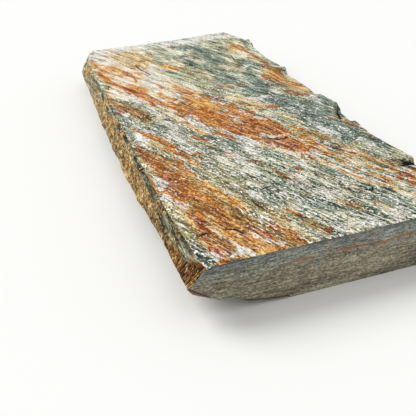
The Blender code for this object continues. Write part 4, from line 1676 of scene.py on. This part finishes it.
@dataclass(frozen=True)
class RivenSlate:
    """Quartz-mica slate, split along its cleavage: matt grey-green stone, streaked and specked.

    The eye gets short bright and dark flecks that lie along the grain, some of the dark ones
    painted shadows beside pale chips, and stains of iron and bloom whose edges break up along
    it. Cracks are painted dark as their shadow, and a pale strip of painted sheen crosses the
    far end.
    """

    grain_angle: float
    name: str = "riven quartz-mica slate"
    # The noises of the stone, from the broadest to the finest. Its real grains are under 1 mm
    # across. The finest noises are drawn coarser, as the clusters that the eye sees.
    broad: Cells = flow(60.0, 18.0, 3.0)
    band: Cells = flow(55.0, 4.5, 2.0, 0.45)
    streak: Cells = flow(20.0, 4.0, 3.0)
    line: Cells = flow(10.0, 1.5, 2.0, 0.6)
    fleck: Cells = flow(2.6, 1.5, 1.0)
    grit: Cells = flow(1.5, 1.2, 1.0, 0.3)
    # The noises that break a stain up. Each stain moves them on by a metre.
    stain_streak: Cells = flow(20.0, 4.0, 4.0, 3.0)
    stain_line: Cells = flow(10.0, 1.5, 2.0, 3.3)
    stain_fleck: Cells = flow(2.6, 1.5, 1.0, 3.6)
    warmth: Cells = flow(60.0, 18.0, 4.0, 0.9)
    stray_speck: Cells = flow(9.0, 2.4, 2.0, 2.1)
    umber_patch: Cells = flow(12.0, 4.5, 3.0, 1.3)
    flock: Cells = flow(26.0, 10.0, 2.0, 5.2)
    curl: float = 0.75
    # How much each noise does to the tone of the stone, and of its stains, from the band on.
    fresh_stone: Mix = Mix((0.9, 1.4, 1.7, 1.3, 1.5, 1.0))
    worn_stone: Mix = Mix((1.5, 1.0, 1.8, 0.9, 0.8), 0.57)
    fresh_stain: Mix = Mix((1.4, 1.6, 1.5, 1.7, 1.3))
    worn_stain: Mix = Mix((1.4, 1.9, 1.1, 1.0), 0.60)
    hue: Mix = Mix((2.4, 1.2), 0.42)
    ragged: Mix = Mix((1.7, 1.6, 2.4), 1.12)
    flocking: Mix = Mix((0.35,), 0.0)
    height: Mix = Mix((0.8, 0.9, 0.4))
    roughness: Mix = Mix((0.5,), 0.66)
    # Where each effect begins, where it is full, and how much it covers. The stone is more worn
    # towards the back, from these places along it in metres.
    worn_from: Reach = (-0.06, 0.14)
    warm_from: Reach = (0.3, 0.7)
    stray_from: Reach = (0.61, 0.67, 0.85)
    stain_from: Reach = (0.38, 0.58, 0.97)
    umber_from: Reach = (0.54, 0.62, 0.5)
    crack_from: Reach = (0.35, 0.9)
    cool: Stops = (
        (0.0, "#141b13"), (0.28, "#4a5e4f"), (0.5, "#86977f"), (0.7, "#bfc6a9"), (1.0, "#fbf9e9"),
    )
    warm: Stops = (
        (0.0, "#1d1a12"), (0.28, "#6b6345"), (0.5, "#aba074"), (0.7, "#d6ca9f"), (1.0, "#fdf8e8"),
    )
    umber: Stops = ((0.0, "#331c02"), (0.5, "#845f29"), (1.0, "#dcbf86"))
    stray: str = "#c08a3e"
    white_fleck: str = "#fffcf2"
    # Painted shadows beside the pale chips, on bare stone and on iron stains.
    chip_shadow: str = "#151814"
    iron_chip_shadow: str = "#3a1b02"
    # Painted shadow in the cracks and under the broken edges of flakes.
    crack_shadow: str = "#14110d"
    # Thin pale lines and small pale flecks.
    chips: tuple[Chips, ...] = (
        Chips(flow(17.0, 1.3, 1.0, 4.4), 0.61, 0.67, 0.65),
        Chips(flow(2.6, 1.5, 1.0, 1.7), 0.615, 0.655, 0.95),
    )
    # Each chip has a painted shadow beside it, on the side away from the key light: this part of
    # its width away and this much of its cover.
    lee: float = 0.55
    shadow_share: float = 0.65
    # How much fewer the chips are on iron stains, and where the stone is worn.
    iron_calm: float = 0.07
    worn_calm: float = 0.05
    relief: float = 1.1
    # Weathered stone is matt, with little sheen.
    specular: float = 0.2

    def noise(
        self, tree: bpy.types.NodeTree, cells: Cells, further: float = 0.0
    ) -> bpy.types.NodeSocket:
        """Adds noise whose cells lie along the grain."""
        return replace(cells, turn=self.grain_angle, curl=self.curl).noise(tree, further)

    def stained(
        self, tree: bpy.types.NodeTree, colour: bpy.types.NodeSocket, tone: bpy.types.NodeSocket
    ) -> tuple[bpy.types.NodeSocket, bpy.types.NodeSocket]:
        """Lays the stains over the stone.

        Args:
            tree: The material's tree.
            colour: Colour of the bare stone.
            tone: Tone of the stains.

        Returns:
            The stained colour, and where it is stained by iron.
        """
        iron = None
        for number, (stain, tones) in enumerate(STAIN_TONES.items()):
            strength = add_node(tree, "ShaderNodeAttribute", {"attribute_name": stain.value})
            kinds = (self.stain_streak, self.stain_line, self.stain_fleck)
            noises = [self.noise(tree, cells, number) for cells in kinds]
            broken = add_node(
                tree, "ShaderNodeMath", {"operation": "MULTIPLY"},
                links={
                    0: strength.outputs["Fac"],
                    1: self.ragged.blend(tree, *noises, share=tones.ragged),
                },
            )
            mask = ease(tree, broken.outputs[0], *self.stain_from)
            stops = ((0.0, tones.low), (0.5, tones.usual), (1.0, tones.high))
            colour = over(tree, mask, colour, shade(tree, tone, stops))
            if stain in IRON_STAINS:
                iron = mask if iron is None else add_node(
                    tree, "ShaderNodeMath", {"operation": "MAXIMUM"}, links={0: iron, 1: mask},
                ).outputs[0]
        patches = ease(tree, self.noise(tree, self.umber_patch), *self.umber_from)
        umber = add_node(
            tree, "ShaderNodeMath", {"operation": "MULTIPLY"}, links={0: iron, 1: patches},
        )
        return over(tree, umber.outputs[0], colour, shade(tree, tone, self.umber)), iron

    def chipped(
        self, tree: bpy.types.NodeTree, colour: bpy.types.NodeSocket, iron: bpy.types.NodeSocket,
        worn: bpy.types.NodeSocket,
    ) -> bpy.types.NodeSocket:
        """Strews pale chips, each with a painted shadow beside it, in loose flocks.

        Args:
            tree: The material's tree.
            colour: Colour of the stone.
            iron: Where it is stained by iron.
            worn: Where it is worn.

        Returns:
            The colour with the chips.
        """
        flock = self.flocking.blend(tree, self.noise(tree, self.flock))
        for calm, place in ((self.iron_calm, iron), (self.worn_calm, worn)):
            flock = add_node(
                tree, "ShaderNodeMath", {"operation": "MULTIPLY_ADD"}, {1: -calm}, {0: place, 2: flock},
            ).outputs[0]
        # The colour of the chips' painted shadows: browner on iron stains.
        dark = add_node(
            tree, "ShaderNodeMix", {"data_type": "RGBA"},
            {6: linear(self.chip_shadow), 7: linear(self.iron_chip_shadow)}, {"Factor": iron},
        ).outputs[2]
        for chips in self.chips:
            for lee, tint, share in ((self.lee, dark, self.shadow_share), (0.0, self.white_fleck, 1.0)):
                further = lee * chips.cells.size[1] * MILLIMETRE
                lifted = add_node(
                    tree, "ShaderNodeMath", {"operation": "ADD"},
                    links={0: flock, 1: self.noise(tree, chips.cells, further)},
                )
                mask = ease(tree, lifted.outputs[0], chips.first, chips.full, share * chips.cover)
                colour = over(tree, mask, colour, tint)
        return colour

    def material(self) -> bpy.types.Material:
        """Builds the material, which reads the slab's stain and crack attributes."""
        material, tree, surface = new_material(self.name, self.specular)
        kinds = (self.broad, self.band, self.streak, self.line, self.fleck, self.grit)
        noises = [self.noise(tree, cells) for cells in kinds]
        _, _, streak, line, fleck, grit = noises

        worn = ease(tree, lengthwise(tree), *self.worn_from)
        fresh_tone = self.fresh_stone.blend(tree, *noises)
        tone = between(tree, worn, fresh_tone, self.worn_stone.blend(tree, *noises))
        hue = self.hue.blend(tree, self.noise(tree, self.warmth), line)
        colour = over(
            tree, ease(tree, hue, *self.warm_from),
            shade(tree, tone, self.cool), shade(tree, tone, self.warm),
        )
        strays = ease(tree, self.noise(tree, self.stray_speck), *self.stray_from)
        colour = over(tree, strays, colour, self.stray)

        fresh_tone = self.fresh_stain.blend(tree, *noises[1:])
        stain_tone = between(tree, worn, fresh_tone, self.worn_stain.blend(tree, *noises[1:]))
        colour, iron = self.stained(tree, colour, stain_tone)
        colour = self.chipped(tree, colour, iron, worn)
        # Painted shadow along the cracks, where the face is also cut down.
        crack = add_node(tree, "ShaderNodeAttribute", {"attribute_name": "crack"})
        colour = over(tree, ease(tree, crack.outputs["Fac"], *self.crack_from), colour, self.crack_shadow)
        dress(tree, surface, colour, self.height.blend(tree, streak, fleck, grit), self.relief)
        tree.links.new(self.roughness.blend(tree, fleck), surface.inputs["Roughness"])
        return material


@dataclass(frozen=True)
class BrokenSlate:
    """Slate broken across its layers: crumbly, granular stone, weathered tan on the long slope.

    The eye gets a rough sandy face with dark pits, and grey-green stone above and below it. At
    the front corner the slope turns rusty, and its layers fan out as fibres.
    """

    name: str = "broken weathered slate"
    # Crumbs of a millimetre or less are drawn coarser, as the clumps that the eye sees.
    lump: Cells = Cells((5.0, 9.0, 3.5), 3.0)
    grain: Cells = Cells((1.7, 2.4, 1.5), 1.5)
    patch: Cells = Cells((16.0, 34.0, 12.0), 3.0)
    layer: Cells = Cells((9.0, 20.0, 1.8), 3.0, 0.2)
    fibre: Cells = Cells((8.0, 0.9, 8.0), 2.0, 1.1, curl=0.25)
    pit: Cells = Cells((1.7, 2.4, 1.5), 1.0, 0.7)
    stone: Stops = (
        (0.0, "#13130d"), (0.3, "#454536"), (0.55, "#7a775e"), (0.8, "#aca588"), (1.0, "#e5dfc8"),
    )
    slope: Stops = (
        (0.0, "#1c1208"), (0.3, "#5c4524"), (0.5, "#8e7144"), (0.75, "#b99d66"), (1.0, "#ecdfba"),
    )
    rust: Stops = (
        (0.0, "#241206"), (0.3, "#643a12"), (0.5, "#925f22"), (0.75, "#c08c40"), (1.0, "#ecd09a"),
    )
    # Painted shade in the small pits, which the bump also sinks by pit_depth.
    pit_shadow: str = "#1f160c"
    crumbs: Mix = Mix((1.5, 1.7, 0.6), 0.56)
    layers: Mix = Mix((2.6, 1.1), 0.4)
    strands: Mix = Mix((3.4, 1.3, 0.9), 0.48)
    ragged: Mix = Mix((1.4, 1.2), 0.0)
    rusty: Mix = Mix((1.0, 0.6), 0.5)
    # Places along the slab, in metres, where the front corner and the shaded part begin and are
    # full, and where the far part does, which is greener and lighter.
    fibre_from: Reach = (-0.185, -0.222)
    dim_from: Reach = (-0.12, -0.18)
    far_from: Reach = (-0.03, 0.16)
    dimming: float = 0.13
    far_green: float = 0.6
    far_light: float = 0.2
    # Where each effect begins in its noise, where it is full, and how much it covers.
    slope_from: Reach = (0.35, 0.65)
    rust_from: Reach = (0.56, 0.66, 0.9)
    pit_from: Reach = (0.37, 0.29, 0.9)
    front_rust: float = 0.34
    pit_depth: float = 0.35
    relief: float = 0.9
    roughness: float = 0.85
    specular: float = 0.2

    def material(self) -> bpy.types.Material:
        """Builds the material, which reads the slab's slope attribute."""
        material, tree, surface = new_material(self.name, self.specular, self.roughness)
        lump, grain, patch = (cells.noise(tree) for cells in (self.lump, self.grain, self.patch))
        place = lengthwise(tree)
        share = add_node(tree, "ShaderNodeAttribute", {"attribute_name": "slope"}).outputs["Fac"]
        front = add_node(
            tree, "ShaderNodeMath", {"operation": "MULTIPLY"},
            links={0: ease(tree, place, *self.fibre_from), 1: share},
        ).outputs[0]
        far = ease(tree, place, *self.far_from)

        layers = add_node(
            tree, "ShaderNodeMath", {"operation": "MULTIPLY_ADD"}, {1: self.far_light},
            {0: far, 2: self.layers.blend(tree, self.layer.noise(tree), grain)},
        ).outputs[0]
        crumbs = self.crumbs.blend(tree, lump, grain, patch)
        strands = self.strands.blend(tree, self.fibre.noise(tree), grain, lump)
        tone = add_node(
            tree, "ShaderNodeMath", {"operation": "MULTIPLY_ADD"}, {1: -self.dimming},
            {0: ease(tree, place, *self.dim_from), 2: between(tree, front, crumbs, strands)},
        ).outputs[0]
        sloping = add_node(
            tree, "ShaderNodeMath", {"operation": "ADD"},
            links={0: share, 1: self.ragged.blend(tree, lump, grain)},
        )
        sloping = add_node(
            tree, "ShaderNodeMath", {"operation": "MULTIPLY_ADD"}, {1: -self.far_green},
            {0: far, 2: sloping.outputs[0]},
        )
        colour = over(
            tree, ease(tree, sloping.outputs[0], *self.slope_from),
            shade(tree, layers, self.stone), shade(tree, tone, self.slope),
        )
        rusty = add_node(
            tree, "ShaderNodeMath", {"operation": "MULTIPLY_ADD"}, {1: self.front_rust},
            {0: front, 2: self.rusty.blend(tree, patch, grain)},
        ).outputs[0]
        colour = over(tree, ease(tree, rusty, *self.rust_from), colour, shade(tree, tone, self.rust))
        # Painted shade in the pits.
        pits = ease(tree, self.pit.noise(tree), *self.pit_from)
        colour = over(tree, pits, colour, self.pit_shadow)
        height = add_node(
            tree, "ShaderNodeMath", {"operation": "MULTIPLY_ADD"}, {1: -self.pit_depth},
            {0: pits, 2: tone},
        )
        dress(tree, surface, colour, height.outputs[0], self.relief)
        return material


@dataclass(frozen=True)
class Vein:
    """A thin mark on the sawn face, through points (u, z) in slab millimetres."""

    points: tuple[tuple[float, float], ...]
    half_width: float = 0.9
    wander: float = 3.0
    colour: str = RUST_VEIN

    def mask(
        self, tree: bpy.types.NodeTree, u: bpy.types.NodeSocket, z: bpy.types.NodeSocket,
        ragged: bpy.types.NodeSocket,
    ) -> bpy.types.NodeSocket:
        """Adds the mark's mask.

        Args:
            tree: The material's tree.
            u: Distance across the slab, in millimetres.
            z: Height over the underside, in millimetres.
            ragged: Noise that makes the mark wander.

        Returns:
            The mask, from 0 to 1.
        """
        widest = None
        for (u0, z0), (u1, z1) in zip(self.points, self.points[1:]):
            share = add_node(
                tree, "ShaderNodeMapRange", {"clamp": True},
                {"From Min": u0, "From Max": u1}, {"Value": u},
            )
            height = add_node(
                tree, "ShaderNodeMath", {"operation": "MULTIPLY_ADD"}, {1: z1 - z0, 2: z0},
                {0: share.outputs[0]},
            )
            place = add_node(
                tree, "ShaderNodeMath", {"operation": "MULTIPLY_ADD"}, {1: u1 - u0, 2: u0},
                {0: share.outputs[0]},
            )
            there = add_node(
                tree, "ShaderNodeCombineXYZ", links={"X": place.outputs[0], "Y": height.outputs[0]},
            )
            here = add_node(tree, "ShaderNodeCombineXYZ", links={"X": u, "Y": z})
            apart = add_node(
                tree, "ShaderNodeVectorMath", {"operation": "DISTANCE"},
                links={0: here.outputs[0], 1: there.outputs[0]},
            )
            wandering = add_node(
                tree, "ShaderNodeMath", {"operation": "MULTIPLY_ADD"}, {1: -2.0 * self.wander},
                {0: ragged, 2: apart.outputs["Value"]},
            )
            mask = ease(tree, wandering.outputs[0], self.half_width - self.wander, -self.wander)
            widest = mask if widest is None else add_node(
                tree, "ShaderNodeMath", {"operation": "MAXIMUM"}, links={0: widest, 1: mask},
            ).outputs[0]
        return widest


def blade_mark(*points: tuple[float, float]) -> Vein:
    """Gives a thin pale score that the blade left."""
    return Vein(points, 0.3, 0.1, PALE_SCORE)


@dataclass(frozen=True)
class SawnSlate:
    """Slate cut by a wet saw: smooth, dull grey stone that shows the blade's fine passes.

    The eye gets thin level scratches, a cooler band along the upper edge, specks of rust and
    two thin rusty veins.
    """

    middle_u: float
    name: str = "sawn slate"
    scratch: Cells = Cells((11.0, 4.0, 0.9), 3.0)
    fleck: Cells = Cells((1.7, 1.7, 1.0), 2.0)
    band: Cells = Cells((45.0, 20.0, 9.0), 3.0)
    speck: Cells = Cells((4.5, 4.0, 2.6), 1.0, 0.4)
    pit: Cells = Cells((2.2, 2.0, 1.6), 1.0, 0.9)
    score: Cells = Cells((7.0, 4.0, 0.8), 2.0, 1.9, curl=0.3)
    tone: Mix = Mix((1.2, 1.5, 1.0), 0.53)
    height: Mix = Mix((0.6, 0.6))
    upper: Stops = ((0.0, "#262a26"), (0.5, "#666d67"), (1.0, "#b9bcae"))
    lower: Stops = ((0.0, "#2a261c"), (0.5, "#79735f"), (1.0, "#c8bea2"))
    edge: str = "#474d46"
    shadow: str = "#211f19"
    rust: str = RUST_VEIN
    pale: str = "#a9a48f"
    # Heights over the underside, in millimetres, where the cooler upper stone and the dark edge
    # begin and are full. The broad noise lifts the first by up to `band_rise`.
    upper_from: Reach = (33.0, 50.0)
    band_rise: float = 30.0
    edge_from: Reach = (30.0, 36.5, 0.55)
    # Where each effect begins in its noise, where it is full, and how much it covers.
    score_from: Reach = (0.58, 0.68, 0.5)
    pit_from: Reach = (0.33, 0.25, 0.8)
    speck_from: Reach = (0.70, 0.76, 0.7)
    relief: float = 0.2
    roughness: float = 0.7
    specular: float = 0.5
    marks: tuple[Vein, ...] = (
        blade_mark((101.0, 27.5), (104.0, 30.0), (107.0, 31.5)),
        blade_mark((54.0, 13.0), (55.5, 17.0), (58.0, 20.0)),
        blade_mark((37.0, 24.0), (40.0, 26.5), (44.0, 28.0)),
        blade_mark((82.0, 9.0), (88.0, 10.5), (96.0, 11.0)),
        # Rusty veins and spots.
        Vein(((50.0, 25.2), (55.0, 26.6), (60.0, 26.8), (67.0, 25.6))),
        Vein(((85.0, 26.4), (96.0, 26.2), (105.0, 25.4), (114.0, 24.4))),
        Vein(((114.0, 24.4), (121.0, 25.8), (128.0, 26.2), (136.0, 27.2), (146.0, 26.4))),
        Vein(((77.0, 28.0), (78.5, 28.0)), 1.1, 0.6),
        Vein(((40.5, 23.0), (41.5, 23.0)), 0.8, 0.6),
        Vein(((66.0, 16.4), (67.5, 16.2)), 0.9, 0.6),
        Vein(((108.0, 30.5), (110.0, 30.5)), 0.7, 0.6),
        # Rust that crept in along the lower left edge, with a dark line above it.
        Vein(((-8.0, 22.0), (-1.0, 15.5), (5.0, 9.5), (12.0, 6.5), (24.0, 3.6)), 1.6, 1.0, "#8a5a22"),
        Vein(((-9.0, 24.0), (-6.0, 21.2), (0.0, 17.0), (4.5, 12.6), (10.0, 10.0)), 1.2, 0.8, DARK_VEIN),
        Vein(((10.0, 10.0), (21.0, 7.0), (37.0, 3.8), (52.0, 1.6)), 0.9, 0.8, DARK_VEIN),
    )

    def material(self) -> bpy.types.Material:
        """Builds the material."""
        material, tree, surface = new_material(self.name, self.specular, self.roughness)
        scratch, fleck, band = (cells.noise(tree) for cells in (self.scratch, self.fleck, self.band))
        place = add_node(tree, "ShaderNodeTexCoord")
        millimetres = add_node(
            tree, "ShaderNodeMapping", {"vector_type": "TEXTURE"},
            {
                "Location": (-self.middle_u * MILLIMETRE, 0.0, 0.0),
                "Scale": (MILLIMETRE, MILLIMETRE, MILLIMETRE),
            },
            {"Vector": place.outputs["Object"]},
        )
        split = add_node(tree, "ShaderNodeSeparateXYZ", links={0: millimetres.outputs[0]})
        u, z = split.outputs["X"], split.outputs["Z"]

        lifted = add_node(
            tree, "ShaderNodeMath", {"operation": "MULTIPLY_ADD"}, {1: self.band_rise}, {0: band, 2: z},
        )
        tone = self.tone.blend(tree, scratch, fleck, band)
        colour = over(
            tree, ease(tree, lifted.outputs[0], *self.upper_from),
            shade(tree, tone, self.lower), shade(tree, tone, self.upper),
        )
        colour = over(tree, ease(tree, z, *self.edge_from), colour, self.edge)
        for cells, reach, tint in (
            (self.score, self.score_from, self.pale),
            (self.pit, self.pit_from, self.shadow),
            (self.speck, self.speck_from, self.rust),
        ):
            colour = over(tree, ease(tree, cells.noise(tree), *reach), colour, tint)
        for mark in self.marks:
            colour = over(tree, mark.mask(tree, u, z, fleck), colour, mark.colour)
        dress(tree, surface, colour, self.height.blend(tree, scratch, fleck), self.relief)
        return material


@dataclass
class Slab:
    """The whole slab: its form, skin, markings, relief and finishes."""

    form: SlabForm = field(default_factory=SlabForm)

    def build(self) -> bpy.types.Object:
        """Builds the dressed slab and puts it in place of the plain one.

        Returns:
            The slab's object.
        """
        skin = SlabSkin(self.form)
        slab = skin.build()
        Markings(self.form).paint(skin, slab)
        riven = RivenSlate(self.form.grain_angle).material()
        finishes = {
            Zone.RIVEN: riven,
            Zone.BROKEN: BrokenSlate().material(),
            Zone.SAWN: SawnSlate(self.form.middle_u).material(),
            Zone.BED: riven,
        }
        RivenRelief(self.form.grain_angle).apply(slab, finishes)
        self.close(slab)
        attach(slab, "root")
        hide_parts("slab")
        return slab

    def close(self, slab: bpy.types.Object) -> None:
        """Turns the slab's faces outward and keeps its arrises crisp."""
        built = bmesh.new()
        built.from_mesh(slab.data)
        bmesh.ops.triangulate(built, faces=[face for face in built.faces if len(face.verts) > 4])
        bmesh.ops.recalc_face_normals(built, faces=built.faces)
        built.to_mesh(slab.data)
        built.free()
        slab.data.shade_smooth()
        slab.data.set_sharp_from_angle(angle=radians(38.0))


@dataclass
class Studio:
    """A plain pale floor, soft light and the camera."""

    floor_size: float = 300.0
    floor_colour: str = "#f4f4f2"
    floor_roughness: float = 0.9
    floor_specular: float = 0.2
    world_strength: float = 0.66
    sun_strength: float = 2.0
    sun_width: float = 34.0
    sun_from: tuple[float, float, float] = (-0.55, 0.62, 0.78)
    # The camera's place in slab coordinates, and its turns in degrees.
    eye: tuple[float, float, float] = (-68.0, -256.08, 231.16)
    heading: float = 15.88
    pitch: float = 30.607
    roll: float = 3.571
    lens: float = 51.445

    def build(self, form: SlabForm) -> None:
        """Makes the floor, the lights and the camera.

        Args:
            form: The slab's form, for its place in the frame.
        """
        self.floor()
        self.world()
        self.key()
        self.camera(form)

    def floor(self) -> None:
        """Lays the floor under the slab."""
        half = self.floor_size / 2.0
        mesh = bpy.data.meshes.new("floor")
        corners = [(-half, -half, 0.0), (half, -half, 0.0), (half, half, 0.0), (-half, half, 0.0)]
        mesh.from_pydata(corners, [], [(0, 1, 2, 3)])
        floor = bpy.data.objects.new("floor", mesh)
        bpy.context.scene.collection.objects.link(floor)
        material, _, surface = new_material("matt white paper", self.floor_specular, self.floor_roughness)
        surface.inputs["Base Color"].default_value = linear(self.floor_colour)
        mesh.materials.append(material)

    def world(self) -> None:
        """Fills the room with even white light."""
        world = bpy.data.worlds.new("white room")
        world.use_nodes = True
        sky = world.node_tree.nodes["Background"]
        sky.inputs["Color"].default_value = (1.0, 1.0, 1.0, 1.0)
        sky.inputs["Strength"].default_value = self.world_strength
        bpy.context.scene.world = world
        bpy.context.scene.view_settings.view_transform = "Standard"

    def key(self) -> None:
        """Adds the broad, soft key light, which comes from behind on the left."""
        lamp = bpy.data.lights.new("key", "SUN")
        lamp.angle = radians(self.sun_width)
        lamp.energy = self.sun_strength
        light = bpy.data.objects.new("key", lamp)
        light.rotation_mode = "QUATERNION"
        light.rotation_quaternion = Vector(self.sun_from).to_track_quat("Z", "Y")
        bpy.context.scene.collection.objects.link(light)

    def camera(self, form: SlabForm) -> None:
        """Places the camera where the picture was taken from.

        Args:
            form: The slab's form.
        """
        data = bpy.data.cameras.new("camera")
        data.lens = self.lens
        data.sensor_width = 36.0
        data.clip_start = 0.01
        camera = bpy.data.objects.new("camera", data)
        u, v, z = self.eye
        camera.location = Vector((u - form.middle_u, v - form.length / 2.0, z)) * MILLIMETRE
        turn = Euler((radians(90.0 - self.pitch), 0.0, radians(-self.heading))).to_matrix()
        turn = turn @ Matrix.Rotation(radians(-self.roll), 3, "Z")
        camera.rotation_mode = "QUATERNION"
        camera.rotation_quaternion = turn.to_quaternion()
        bpy.context.scene.collection.objects.link(camera)
        bpy.context.scene.camera = camera


def main() -> None:
    """Builds the studio and the slab."""
    logging.basicConfig(level=logging.INFO)
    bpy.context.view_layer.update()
    slab = Slab()
    Studio().build(slab.form)
    piece = slab.build()
    LOG.info("%s: %d faces", piece.name, len(piece.data.polygons))


if __name__ == "__main__":
    main()
